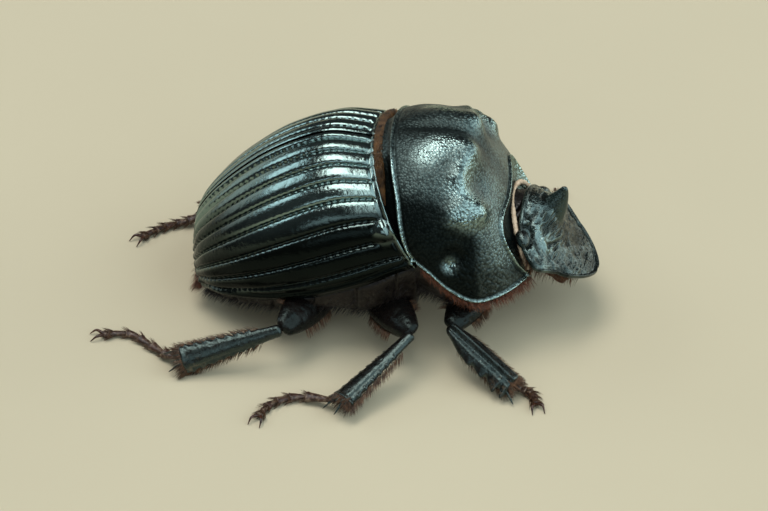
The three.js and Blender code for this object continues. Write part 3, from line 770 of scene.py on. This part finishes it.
def face_relief(x, y):
    """Wrinkles, seams and the sockets of the eyes."""
    spot = xyz(x, y * 0.55, 0)
    warp = 0.35 * noise(spot, 1.1, 31)
    w = np.abs(y)
    half_face = np.stack([x, w], -1)
    # Folds run across the face, but lengthwise on the cheeks.
    folds = np.abs(noise(xyz(x + warp, y * 0.42, warp), 0.24, 32))
    cheek_folds = np.abs(noise(xyz(x * 0.42, y + warp, warp), 0.24, 36))
    folds = folds + (cheek_folds - folds) * smooth(2.3, 2.9, w) * smooth(1.2, 1.8, x)
    relief = 0.09 * (0.35 - folds) * (1 - 0.45 * smooth(3.0, 3.8, x)) + 0.06 * noise(spot, 0.8, 33)
    relief += 0.03 * noise(spot, 0.3, 35) - 0.03 * pits(x, y, 0.3, 0.1, 34, 0.8)
    # The curved seam between clypeus and brow, and the seam that runs out past the eye to the margin.
    arc = x - (3.05 - 0.16 * w**2)
    seam = 0.05 * hump(arc, 0.07) - 0.04 * hump(arc + 0.16, 0.1)
    relief -= seam * smooth(0.5, 0.9, w) * (1 - smooth(1.9, 2.3, w))
    fork, bend = (0.6, 1.8), (1.25, 2.45)
    for start, stop in ((fork, bend), (bend, (2.1, 3.05)), (fork, (0.1, 1.6)), (fork, (0.65, 1.3))):
        relief -= 0.12 * hump(segment_distance(half_face, start, stop), 0.1)
    relief += 0.14 * hump(segment_distance(half_face, (1.1, 1.95), (2.4, 2.5)), 0.22)
    relief += 0.07 * hump(segment_distance(half_face, (0.55, 2.05), (1.3, 2.75)), 0.1)
    ex, ey, _ = EYE_AT
    c, q = math.cos(EYE_TURN), math.sin(EYE_TURN)
    along, off = (x - ex) * c + (w - ey) * q, (w - ey) * c - (x - ex) * q
    socket = np.hypot(along / EYE_RADII[0], off / EYE_RADII[1])
    rim = 0.14 * hump(socket - 1, 0.16) - 0.05 * hump(socket - 1.32, 0.14)
    return relief * smooth(0.9, 1.2, socket) - rim


def head_outline(angle):
    forward, across = np.cos(angle), np.sin(angle)
    reach = np.where(forward > 0, CLYPEUS_LENGTH, NAPE_LENGTH)
    turned = np.abs((angle + PI) % (2 * PI) - PI)
    notch = 1 - 0.022 * hump(turned, 0.09) - 0.018 * hump(turned - 1.02, 0.06)
    x = reach * np.sign(forward) * np.abs(forward) ** HEAD_TAPER * notch
    half_width = HEAD_HALF_WIDTH * np.abs(across) ** HEAD_TAPER * notch + 0.45 * hump(x - 0.55, 0.7)
    return x, np.sign(across) * half_width


def head():
    angle = 2 * PI * np.arange(HEAD_AROUND) / HEAD_AROUND
    ox, oy = head_outline(angle)
    share = np.linspace(0.02, 1, HEAD_ROWS)[:, None] ** 0.85
    x, y = GENA_AT + ox * share, oy * share
    rim_distance = (1 - share) * np.hypot(ox, oy)
    relief = face_relief(x, y)
    z = face_height(x, y) + relief * smooth(0.0, 0.45, rim_distance)
    z += 0.09 * hump(rim_distance - 0.08, 0.08) - 0.05 * hump(rim_distance - 0.28, 0.12)
    z -= border(rim_distance, 0.07)
    # The strength of the reflection is painted light: raised along a band from the brow to the cheek as
    # painted highlight, weaker towards the front, gone at the back, and weaker in the folds of the relief as
    # painted shade.
    painted_highlight_band = hump(segment_distance(np.stack([x, np.abs(y)], -1), (0.4, 1.0), (2.7, 3.0)), 1.0)
    shine = (0.6 + 0.65 * painted_highlight_band) * (1 - 0.3 * smooth(3.0, 4.6, x)) * smooth(-0.9, 0.5, x)
    shine *= 0.2 + 1.15 * smooth(-0.06, 0.07, relief)
    top = xyz(x, y, z)
    below = np.linspace(1, 0.02, 24)[:, None]
    ux, uy = GENA_AT + ox * below * 0.985, oy * below * 0.985
    uz = face_height(ux, uy) - 0.16 - 1.1 * (1 - below) ** 0.8
    bottom = xyz(ux, uy, uz)
    waist = (top[-1] + bottom[0]) / 2 + 0.02 * xyz(np.cos(angle), np.sin(angle), 0)
    rings = from_head(np.concatenate([top, waist[None], bottom]))
    shine = np.pad(shine, ((0, len(below) + 1), (0, 0)), constant_values=0.5)
    tubes("head_capsule", [rings], HEAD, shine, slot="head", replaces=["head"])


def horn():
    stations = ((1.5, 0, 0.1), (1.38, 0, 0.95), (1.2, 0, 1.75), (0.95, 0, 2.54))

    def relief(t, angle, length):
        spot = xyz(t * length, np.cos(angle) * 0.6, np.sin(angle) * 0.6)
        return 0.05 * noise(spot, 0.3, 41) * (1 - t) + 0.03 * noise(spot, 0.7, 42)

    grid = limb(
        stations, (1, 0, 0), 90, 64, lambda t: 0.12 + 0.72 * (1 - t), lambda t: 0.12 + 1.08 * (1 - t) ** 0.9,
        relief, blunt_start=True,
    )
    shine = np.full(grid.shape[:2], 0.6)
    tubes("horn_cone", [from_head(grid)], HEAD, shine, slot="head", replaces=["horn"])


def eyes():
    ahead, out, off_face = EYE_AT
    for side_name, s in SIDES:
        turn = Matrix.Rotation(s * EYE_TURN, 3, "Z")
        grid = blob((ahead, s * out, off_face), np.array(EYE_RADII) * 0.97, 48, 64, turn=turn)
        tubes(f"eye_{side_name}_lens", [from_head(grid)], EYE, slot="eye", replaces=[f"eye_{side_name}"])


def mouth():
    grids = [
        blob((2.0, 0, -0.95), (2.5, 2.0, 1.15), 50, 64, (0.3, 0.07, 51)),
        blob((3.5, 0, -1.45), (1.1, 1.2, 0.6), 36, 48, (0.35, 0.05, 52)),
        blob((2.6, 1.2, -1.75), (1.0, 0.5, 0.45), 30, 36, (0.4, 0.04, 53)),
        blob((2.6, -1.2, -1.75), (1.0, 0.5, 0.45), 30, 36, (0.4, 0.04, 54)),
    ]
    tubes("mouth_parts", [from_head(grid) for grid in grids], UNDERSIDE, slot="underside")
    neck = limb(
        ((-1.3, 0, -1.5), (1.2, 0, -1.5)), (0, 0, 1), 60, 80, lambda t: 1.95 + 0 * t, lambda t: 1.9 + 0 * t,
        lambda t, angle, length: 0.05 * np.sin(t * length * 14),
    )
    tubes("neck", [from_head(neck)], UNDERSIDE, slot="underside")


def feelers():
    for side_name, s in SIDES:
        mirror = np.array([1, s, 1])
        stalk = mirror * ((2.7, 1.4, -1.25), (3.1, 2.0, -1.2), (3.7, 2.1, -1.1), (4.05, 1.94, -1.04))
        palp = mirror * ((3.1, 0.9, -1.35), (3.6, 1.15, -1.55), (4.1, 1.25, -1.6))
        beads = limb(
            stalk, (0, 0, 1), 90, 24, lambda t: 0.17 + 0.06 * (1 - t) + 0.045 * np.abs(np.sin(8 * PI * t))
        )
        # Three leaves, folded together into the club.
        turn = Matrix.Rotation(-s * 0.5, 3, "Z")
        leaves = [
            blob((4.32, s * (1.8 + 0.04 * leaf), -1.02 + lift), (0.52, 0.34, 0.095), 24, 28, turn=turn)
            for leaf, lift in enumerate((-0.2, 0.0, 0.2))
        ]
        joints = limb(palp, (0, 0, 1), 60, 24, lambda t: 0.16 + 0.09 * np.abs(np.sin(3 * PI * t)) ** 0.6)
        for name, form, grids in (("antenna", "club", [beads, *leaves]), ("palp", "joints", [joints])):
            part = f"{name}_{side_name}"
            grids = [from_head(grid) for grid in grids]
            tubes(f"{part}_{form}", grids, FEELER, slot="feeler", replaces=[part])


# ---- Legs ----
# Joint places of a right leg, half sizes of thigh and shin, the way the shin's broad face looks, and the
# route of the foot.
LEGS = {
    "front": dict(
        hip=(5.3, -2.3, 3.3), knee=(3.5, -6.7, 2.8), ankle=(7.35, -9.15, 0.85), femur=(1.05, 0.75),
        flat=(0.1, -0.55, 0.83),
        foot=((7.3, -8.9, 0.7), (7.9, -8.85, 0.35), (8.5, -9.2, 0.25), (8.75, -10.0, 0.24)),
    ),
    "mid": dict(
        hip=(-1.5, -3.0, 2.6), knee=(1.4, -7.6, 2.9), ankle=(-2.3, -11.6, 0.9), femur=(1.15, 0.75),
        tibia=(0.36, 0.8), flat=(-0.5, -0.2, 0.84),
        foot=(
            (-2.6, -11.3, 0.68), (-4.4, -10.7, 0.33), (-5.6, -10.9, 0.25), (-6.5, -11.6, 0.24),
            (-6.9, -12.6, 0.24),
        ),
    ),
    "hind": dict(
        hip=(-3.6, -2.2, 2.6), knee=(-6.1, -7.8, 2.8), ankle=(-11.9, -8.9, 0.9), femur=(1.2, 0.8),
        tibia=(0.36, 0.8), flat=(0.1, -0.8, 0.55),
        foot=(
            (-12.0, -8.4, 0.72), (-13.0, -7.6, 0.35), (-14.1, -6.7, 0.25), (-15.3, -5.9, 0.24),
            (-16.9, -6.1, 0.24),
        ),
    ),
}
LEFT_HIND = dict(
    LEGS["hind"], knee=(-6.6, -7.2, 2.8), ankle=(-12.2, -5.6, 0.95),
    foot=(
        (-12.5, -5.2, 0.75), (-13.3, -5.0, 0.38), (-14.2, -4.7, 0.25), (-15.1, -4.1, 0.24),
        (-15.9, -3.3, 0.24),
    ),
)
TARSOMERE_ENDS = (0, 0.27, 0.46, 0.63, 0.79, 1)


def shin_frame(leg):
    """The ends of a shin and its own axes: ahead, across and up."""
    ahead = unit(leg["ankle"] - leg["knee"])
    across = unit(np.cross(leg["flat"], ahead))
    return leg["knee"], leg["ankle"], ahead, across, np.cross(ahead, across)


def thigh_swell(t):
    return np.sin(PI * np.clip(0.12 + 0.8 * t, 0, 1)) ** 0.7


def flare(leg, t):
    """The half width of a middle or hind shin."""
    start, end = leg["tibia"]
    return start + (end - start) * t**1.3


def thigh(leg):
    wide, thick = leg["femur"]

    def relief(t, angle, length):
        groove = -0.1 * hump(np.sin(angle) + 1, 0.35) * smooth(0.55, 0.8, t)
        edge = 0.05 * hump(np.cos(angle) - 1, 0.12)
        return groove + edge - 0.03 * pits(t * length, angle * wide, 0.55, 0.12, 101, 0.6)

    return limb(
        (leg["hip"], leg["knee"]), leg["flat"], 90, 64, lambda t: wide * thigh_swell(t),
        lambda t: thick * thigh_swell(t), relief,
    )


def shin(leg):
    """A middle or hind shin: keeled, toothed along its outer edge, flaring to a cut-off end."""

    def relief(t, angle, length):
        out = length * t
        hollow = -0.07 * hump(np.sin(angle) - 0.55, 0.2) * (np.cos(angle) > 0) * smooth(0.3, 0.6, t)
        notches = np.abs((out / 0.62) % 1.0 - 0.5) * 2
        teeth = 0.12 * notches**2 * hump(np.abs(np.cos(angle)) - 1, 0.12) * smooth(0.15, 0.4, t)
        collar = 0.06 * hump(t - 0.965, 0.02)
        return hollow + teeth + collar - 0.018 * pits(out, angle * 0.7, 0.5, 0.09, 102, 0.6)

    return limb(
        (leg["knee"], leg["ankle"]), leg["flat"], 130, 72, lambda t: flare(leg, t),
        lambda t: np.maximum(0.28, 0.55 * flare(leg, t)), relief,
    )


# The teeth of a front shin: the place of each, as a share of the shin's length, and its height.
SHIN_TEETH = ((0.42, 0.05), (0.62, 0.1), (0.82, 0.28), (0.95, 0.26))


def blade(leg, outer):
    """A front shin: a flat digging blade with four hooked teeth along its outer edge."""
    knee, ankle, ahead, across, rise = shin_frame(leg)
    length = np.linalg.norm(ankle - knee)
    u = np.linspace(-0.15, length, 190)[:, None]
    q = np.clip(u / length, 0, 1)
    edge = 0.4 + 0.43 * smooth(0.0, 0.35, q)
    lean = 0
    for place, tall in SHIN_TEETH:
        tip = length * place + 0.15
        tooth = smooth(tip - 0.6, tip, u) * (1 - smooth(tip, tip + 0.22, u))
        edge = edge + (tall + 0.06) * tooth - 0.8 * tall * hump(u - tip - 0.3, 0.14)
        lean = lean + 0.45 * tall * tooth
    inner = 0.4 + 0.22 * smooth(0.0, 0.4, q)
    cap = rounded(u + 0.15, 0.4, 0.03) * rounded(length - u, 0.2, 0.2)
    c, s = np.cos(ring(72)), np.sin(ring(72))
    # Thin at the toothed edge, with a blunt keel along the middle of the upper face.
    sideways = np.sign(c) * np.abs(c) ** 0.8 * np.where(c > 0, edge, inner) * cap
    thickness = (0.33 - 0.13 * np.clip(sideways, 0, 1)) * np.sign(s) * np.abs(s) ** 0.9 * cap
    upper = 0.1 * hump(sideways + 0.2, 0.14) * cap - 0.09 * hump(sideways - 0.08, 0.12)
    upper += 0.05 * hump(sideways - 0.45, 0.2) * cap
    thickness = thickness + upper * (s > 0) - 0.02 * pits(u, sideways, 0.5, 0.1, 103, 0.6) * np.sign(s)
    forward = u + lean * np.clip(c, 0, 1) ** 2
    return knee + xyz(forward, sideways * outer, thickness) @ np.array([ahead, across, rise])


def spike(base, tip, thick, bend=0.0, size=14):
    """A spine that bends up by so much; size counts its rings and the points of each."""
    middle = (base + tip) / 2 + [0, 0, bend]
    return limb(
        (base, middle, tip), (0.13, 0.21, 0.97), size, size, lambda t: thick * (1 - 0.86 * t),
        blunt_start=True,
    )


def shin_spines(leg, kind):
    """Spurs at the end of a shin, a crown of short spines round it, and spines along its edges."""
    knee, ankle, ahead, across, rise = shin_frame(leg)
    grids = []
    for share in (-0.5, 0.15)[: 1 if kind == "front" else 2]:
        out = across * share
        tip = ankle + 0.8 * ahead + 1.69 * out
        tip[2] = max(0.2, tip[2] - 0.2)
        grids.append(spike(ankle - 0.3 * ahead + out, tip, 0.15, 0.05))
    if kind == "front":
        return grids
    end = leg["tibia"][1]
    for i in range(16):
        angle = 2 * PI * (i + 0.5) / 16
        away = across * math.cos(angle) * end * 0.9 + rise * math.sin(angle) * end * 0.5
        reach = 0.3 + 0.12 * math.sin(5.0 * i)
        grids.append(spike(ankle - 0.1 * ahead + away, ankle + reach * ahead + 1.2 * away, 0.05, size=6))
    for q in 0.28 + 0.68 * np.arange(9) / 9:
        for s in (-1, 1):
            root = knee + (ankle - knee) * q + across * s * flare(leg, q) * 0.95
            grids.append(spike(root, root + ahead * 0.26 + across * s * 0.28, 0.05, size=6))
    return grids


def foot(leg):
    """Five joints, each flaring to its far end, that hang together by thin necks."""
    path = through(*leg["foot"])
    grids = []
    for i, (start, stop) in enumerate(zip(TARSOMERE_ENDS[:-1], TARSOMERE_ENDS[1:])):
        overlap = 0.02 if i else 0
        size = 0.3 - 0.02 * i

        def half(t):
            if stop == 1:
                return 0.13 + 0.1 * t
            return 0.13 + (size - 0.1) * t**1.1 - 0.1 * smooth(0.9, 1.0, t)

        grids.append(limb(
            path(np.linspace(start - overlap, stop, 4)), (0, 0, 1), 30, 28, lambda t: half(t) * 1.15,
            lambda t: half(t) * 0.85, lambda t, a, length: 0.03 * hump(t - 0.86, 0.06),
        ))
    return grids


def claws(leg):
    tip, before = through(*leg["foot"])(np.array([1.0, 0.93]))
    ahead = unit(tip - before)
    grids = []
    for side in (-1, 1):
        out = unit(np.cross((0, 0, 1), ahead)) * side
        start = tip - 0.12 * ahead + 0.05 * out
        bend = tip + 0.28 * ahead + 0.3 * out + [0, 0, 0.1]
        end = tip + 0.68 * ahead + 0.36 * out
        end[2] = 0.04
        grids.append(limb((start, bend, end), (0, 0, 1), 26, 16, lambda t: 0.12 - 0.095 * t))
    return grids


def build_leg(kind, side_name, s):
    right = LEFT_HIND if kind == "hind" and side_name == "left" else LEGS[kind]
    mirror = np.array([1, -s, 1])
    places = {key: np.array(right[key]) * mirror for key in ("hip", "knee", "ankle", "flat", "foot")}
    leg = {**right, **places}
    tag = f"{kind}_{side_name}"
    tubes(f"thigh_{tag}", [thigh(leg)], SHADED_THIGH, slot="leg", replaces=[f"femur_{tag}"])
    coxa = blob(leg["hip"] + [0, s * -0.4, 0.2], (1.0, 1.25, 0.85), 36, 44, (0.3, 0.05, 61))
    tubes(f"hip_{tag}", [coxa], SHADED_THIGH, slot="leg")
    shin_grid = blade(leg, s) if kind == "front" else shin(leg)
    for name, grids, material, slot, replaced in (
        ("shin", [shin_grid, *shin_spines(leg, kind)], SHIN, "leg", [f"tibia_{tag}"]),
        ("foot", foot(leg), FOOT, "tarsus", [f"tarsus_{tag}"]),
        ("claws", claws(leg), CLAW, "tarsus", []),
    ):
        above_floor = [np.maximum(grid, [-np.inf, -np.inf, 0]) for grid in grids]
        tubes(f"{name}_{tag}", above_floor, material, slot=slot, replaces=replaced)
    return leg


# ---- Bristles ----
BRISTLE_STEPS = 4
PATCH, MAP_MARGIN = 0.0015, 0.04
FLOOR_CLEARANCE = 0.01


def bristles(name, groups, material):
    """One piece of tapered solid bristles.

    A group is (roots, towards, sag, lengths, thick, uv): each bristle curves from `towards` by `sag` and has
    its own small patch of the map at uv.
    """
    roots, towards, sag, lengths, thick, uv = (
        np.vstack([value * np.ones((len(group[0]), 1)) for value, group in zip(column, groups)])
        for column in zip(*groups)
    )
    towards = unit(towards)
    side = unit(np.cross(towards, np.array([0.31, 0.17, 0.93])))
    other = np.cross(towards, side)
    rings, patches = [], []
    for step in range(BRISTLE_STEPS):
        q = step / BRISTLE_STEPS
        centre = roots + lengths * (towards * q + sag * q * q)
        half = thick * (1 - 0.75 * q)
        for corner in range(3):
            a = 2 * PI * corner / 3
            rings.append(centre + half * (side * math.cos(a) + other * math.sin(a)))
            patches.append(uv + PATCH * np.array([math.cos(a), 2 * q - 1]))
    rings.append(roots + lengths * (towards + sag))
    patches.append(uv + PATCH * np.array([0, 1]))
    per = len(rings)
    points = np.stack(rings, 1).reshape(-1, 3)
    places = np.stack(patches, 1).reshape(-1, 2)
    points[:, 2] = np.maximum(points[:, 2], FLOOR_CLEARANCE)
    around = [(corner, (corner + 1) % 3) for corner in range(3)]
    sides = [
        (first + a, first + b, first + b + 3, first + a + 3)
        for first in range(0, 3 * (BRISTLE_STEPS - 1), 3)
        for a, b in around
    ]
    ends = [(0, 2, 1)] + [(per - 4 + a, per - 4 + b, per - 1) for a, b in around]
    start = (np.arange(len(roots)) * per)[:, None, None]
    faces = [(np.array(f)[None] + start).reshape(-1, len(f[0])) for f in (sides, ends)]
    piece(name, points, faces, material, uv=[places[f] for f in faces])


def scattered(seed, count):
    """Four random numbers for each bristle."""
    return np.random.default_rng(seed).random((count, 4))


def group(r, root, towards, sag, short, spread, thick, cell=(0, 0), cells=(1, 1), columns=(0, 1)):
    """One group for bristles(), laid over one cell of a shared map by two columns of its random numbers."""
    uv = (np.array(cell) + MAP_MARGIN + (1 - 2 * MAP_MARGIN) * r[:, columns]) / cells
    return root, towards, sag, short + spread * r[:, 3:], thick, uv


def collar_bristles():
    """The short dense velvet in the gap between pronotum and elytra."""
    r = scattered(201, 8800)
    share = -0.52 + 1.04 * r[:, 0]
    t = 0.013 + 0.042 * r[:, 1] * smooth(0.62, 0.3, np.abs(share))
    root = pronotum_surface(t, share) - [0, 0, 0.4]
    towards = unit(root - [0, 0, 6]) + [-0.12, 0, 0] + 0.5 * (r[:, [2, 3, 2]] - 0.5)
    size = 0.5 + 0.5 * smooth(0.54, 0.3, np.abs(share))[:, None]
    velvet = group(r, root, towards, (-0.08, 0, -0.1), 0.22 * size, 0.3 * size, 0.03, columns=(1, 0))
    bristles("collar_velvet", [velvet], VELVET)


def edge_bristles():
    """Rusty bristles below the side edges of the pronotum."""
    groups = []
    for number, s in enumerate((-1, 1)):
        r = scattered(211 + number, 1300)
        root = pronotum_surface(0.1 + 0.88 * r[:, 0], np.full(len(r), s * 0.985))
        root -= xyz(0, s * (0.15 + 0.7 * r[:, 1]), 0.1 + 0.3 * r[:, 1])
        towards = xyz(0.9 * (r[:, 2] - 0.35), s * (0.5 + 0.5 * r[:, 3]), -0.55 - 0.4 * r[:, 1])
        towards += 0.7 * (r[:, [3, 0, 2]] - 0.5)
        groups.append(group(r, root, towards, (0.15, 0, -0.3), 0.3, 0.5, 0.018, (number, 0), (2, 1)))
    bristles("pronotum_fringe", groups, RUSTY)


def belly_bristles():
    """Sparse rusty bristles, darkened as painted shade, over the flanks of the breast and belly."""
    groups = []
    for number, plate in enumerate((BREAST_REAR, BELLY, BREAST_FRONT)):
        for s in (-1, 1):
            r = scattered(221 + 2 * number + (s > 0), 1100)
            drop = r[:, 1] ** 0.8
            root = on_keel(plate, 0.02 + 0.96 * r[:, 0], 0.42 * PI * drop) * [1, 0.97 * s, 1]
            root[:, 2] += 0.1 * drop
            towards = xyz(-0.7 + 0.8 * (r[:, 2] - 0.5), s * (0.55 + 0.2 * r[:, 3]), -0.35 - 0.5 * drop)
            cell = (number, int(s > 0))
            groups.append(group(r, root, towards, (-0.1, 0, -0.25), 0.3, 0.45, 0.015, cell, (3, 2)))
    bristles("belly_bristles", groups, SHADED_BELLY_BRISTLES)


def mouth_bristles():
    """A tuft below the head and a fringe along its rear underside."""
    r = scattered(241, 1300)
    ox, oy = head_outline(PI * (0.12 + 1.76 * r[:, 0]))
    inset = 0.62 + 0.3 * r[:, 1]
    x, y = GENA_AT + ox * inset, oy * inset
    root = from_head(xyz(x, y, face_height(x, y) - 0.4 - 0.9 * (1 - inset)))
    towards = xyz(0.4 + 0.6 * (r[:, 2] - 0.5), 0.5 * np.sign(y) * r[:, 3], -1.0) @ HEAD_TURN.T
    bristles("mouth_bristles", [group(r, root, towards, (0.1, 0, -0.2), 0.3, 0.4, 0.02)], TAWNY)


def tail_bristles():
    """A few long rusty wisps round the end of the abdomen."""
    r = scattered(251, 700)
    angle = PI * (r[:, 0] - 0.5) * 1.5
    root = xyz(-11.55 + 0.6 * r[:, 1], 2.5 * np.sin(angle), 1.9 + 0.5 * np.cos(angle) * r[:, 2])
    towards = xyz(-0.8, 0.6 * np.sin(angle), -0.25 - 0.5 * r[:, 2])
    bristles("tail_bristles", [group(r, root, towards, (0, 0, -0.2), 0.5, 0.5, 0.02)], RUSTY)


def leg_tufts(number, kind, leg):
    """Groups of one leg's bristles: fringes of thigh and shin, tufts at the shin's end and on the foot."""
    knee, ankle, ahead, across, rise = shin_frame(leg)
    hip = leg["hip"]
    cells = (6, 4)

    r = scattered(301 + number, 420)
    edge = np.where(r[:, 1:2] < 0.5, -1, 1)
    q = 0.35 + 0.42 * r[:, :1]
    thigh_ahead = unit(knee - hip)
    thigh_across = unit(np.cross(leg["flat"], thigh_ahead))
    root = hip + (knee - hip) * q + thigh_across * edge * leg["femur"][0] * thigh_swell(q) * 0.96
    towards = thigh_across * edge + thigh_ahead * 0.6 + 0.5 * (r[:, 2:3] - 0.5) * rise
    yield group(r, root, towards, (0, 0, -0.25), 0.3, 0.35, 0.017, (number, 0), cells)

    # The shin's fringe is denser towards its end.
    r = scattered(321 + number, 700)
    edge = np.where(r[:, 1:2] < 0.5, -1, 1)
    q = 0.2 + 0.78 * r[:, :1] ** 0.75
    half = 0.55 if kind == "front" else flare(leg, q)
    root = knee + (ankle - knee) * q + across * edge * half * 0.94 - rise * (0.12 + 0.2 * r[:, 2:3])
    towards = across * edge * (0.5 + 0.6 * r[:, 2:3]) + ahead * 0.9 - rise * 0.35
    yield group(r, root, towards, (0, 0, -0.15), 0.3, 0.42, 0.019, (number, 1), cells)

    r = scattered(341 + number, 420)
    angle = 2 * PI * r[:, :1]
    end = 0.5 if kind == "front" else leg["tibia"][1]
    away = across * np.cos(angle) * end * 0.85 + rise * np.sin(angle) * end * 0.45
    root = ankle - ahead * 0.45 * r[:, 1:2] + away
    towards = ahead + away * 0.9 + 0.4 * (r[:, 2:3] - 0.5) * across
    yield group(r, root, towards, (0, 0, -0.1), 0.35, 0.4, 0.019, (number, 2), cells)

    # Tufts stand at the far end of each joint of the foot.
    r = scattered(361 + number, 380)
    path = through(*leg["foot"])
    t = np.array([0.25, 0.44, 0.61, 0.77, 0.93])[(r[:, 0] * 5).astype(int)] - 0.03 * r[:, 1]
    centre = path(t)
    step = unit(path(t + 0.02) - centre)
    out = unit(np.cross((0, 0, 1), step))
    angle = 2 * PI * r[:, 2:3]
    away = out * np.cos(angle) * 0.24 + np.array([0, 0, 1]) * np.sin(angle) * 0.17
    towards = step + 2.2 * away
    yield group(r, centre + away, towards, (0, 0, 0), 0.28, 0.3, 0.015, (number, 3), cells, (0, 2))


# ---- Assembly ----
for name, s in SIDES:
    elytron(name, s)
pronotum()
front_membrane()
keel("breast_front", "prothorax_underside", BREAST_FRONT, (0.35, 0.7))
keel("breast_rear", "metathorax", BREAST_REAR, (0.2, 0.62), lap=0.2)
keel("belly", "abdomen", BELLY, (0.12, 0.27, 0.42, 0.58, 0.76), lap=0.3)
tail = blob((-11.35, 0, 2.2), (0.55, 2.6, 1.2), 60, 90, (0.2, 0.05, 71), Matrix.Rotation(0.5, 3, "Y"))
tubes("tail_plate", [tail], UNDERSIDE, slot="underside", replaces=["pygidium"])
head()
horn()
eyes()
mouth()
feelers()
tufts = []
for number, (kind, (name, s)) in enumerate((kind, side) for kind in LEGS for side in SIDES):
    tufts += leg_tufts(number, kind, build_leg(kind, name, s))
collar_bristles()
edge_bristles()
belly_bristles()
mouth_bristles()
tail_bristles()
bristles("leg_bristles_a", tufts[: len(tufts) // 2], TAWNY)
bristles("leg_bristles_b", tufts[len(tufts) // 2 :], TAWNY)

# ---- Floor, light and background ----
FLOOR = (0.57, 0.5, 0.35)
FLOOR_HALF, FLOOR_Z = 3.0, -1e-5
LAMP_CENTRE, LAMP_DISTANCE = Vector((0, 0, 0.006)), 0.6


def lay_floor():
    shader = Shader("floor")
    dark, light = (tuple(level * c for c in FLOOR) for level in (0.96, 1.02))
    colour = shader.mottled(30, 3, dark, light, 0.2, 0.8)
    shader.finish(colour, shader.range(shader.noise(20, 2), 0, 1, 0.85, 0.95))
    mesh = bpy.data.meshes.new("floor")
    corners = [(x * FLOOR_HALF, y * FLOOR_HALF, FLOOR_Z) for x, y in ((-1, -1), (1, -1), (1, 1), (-1, 1))]
    mesh.from_pydata(corners, [], [(0, 1, 2, 3)])
    mesh.materials.append(shader.material)
    floor = placed("floor", mesh)


def light_world():
    """A dim sky that lights the beetle; the camera sees the floor's colour in its place."""
    world = bpy.data.worlds.new("world")
    bpy.context.scene.world = world
    world.use_nodes = True
    nodes, links = world.node_tree.nodes, world.node_tree.links
    light, seen = nodes["Background"], nodes.new("ShaderNodeBackground")
    for background, colour, strength in ((light, (0.90, 0.96, 1.0, 1), 0.06), (seen, (*FLOOR, 1), 1.0)):
        background.inputs["Color"].default_value = colour
        background.inputs["Strength"].default_value = strength
    path, mixer = nodes.new("ShaderNodeLightPath"), nodes.new("ShaderNodeMixShader")
    for place, output in enumerate((path.outputs["Is Camera Ray"], light.outputs[0], seen.outputs[0])):
        links.new(output, mixer.inputs[place])
    links.new(mixer.outputs[0], nodes["World Output"].inputs["Surface"])


def lamp(name, towards, along, sizes, radiance, colour):
    """An area lamp in the given direction from the beetle, its first size measured along `along`."""
    data = bpy.data.lights.new(name, "AREA")
    data.shape = "RECTANGLE"
    data.size, data.size_y = sizes
    data.energy = radiance * PI * sizes[0] * sizes[1]
    data.color = colour
    z = Vector(towards).normalized()
    y = z.cross(Vector(along)).normalized()
    turn = Matrix((y.cross(z), y, z)).transposed().to_4x4()
    placed(name, data).matrix_world = Matrix.Translation(LAMP_CENTRE + z * LAMP_DISTANCE) @ turn


WARM, COOL_WHITE = (1.0, 0.985, 0.96), (0.90, 0.98, 1.0)
SKY_BLUE, HAZE = (0.78, 0.93, 1.0), (0.92, 0.98, 0.93)

lay_floor()
light_world()
lamp("strip", (0.08, -0.42, 0.9), (1, 0, 0), (0.12, 0.5), 2.8, COOL_WHITE)
lamp("core", (-0.22, 0.06, 0.97), (1, 0, 0), (0.32, 0.4), 5.2, WARM)
lamp("side_fill", (-0.1, -0.88, 0.44), (1, 0, 0), (0.5, 0.16), 1.5, SKY_BLUE)
lamp("sky_rear", (-0.78, 0.22, 0.58), (0, 1, 0), (0.34, 0.18), 2.6, SKY_BLUE)
lamp("sky_front", (0.75, -0.22, 0.63), (0.28, 0.96, 0), (0.86, 0.7), 1.7, SKY_BLUE)
lamp("horizon_front", (0.85, 0.5, 0.16), (-0.5, 0.85, 0), (0.6, 0.2), 2.6, HAZE)
lamp("horizon_rear", (-0.85, 0.5, 0.2), (0.5, 0.85, 0), (0.5, 0.2), 0.8, HAZE)

bpy.context.scene.view_settings.view_transform = "Standard"
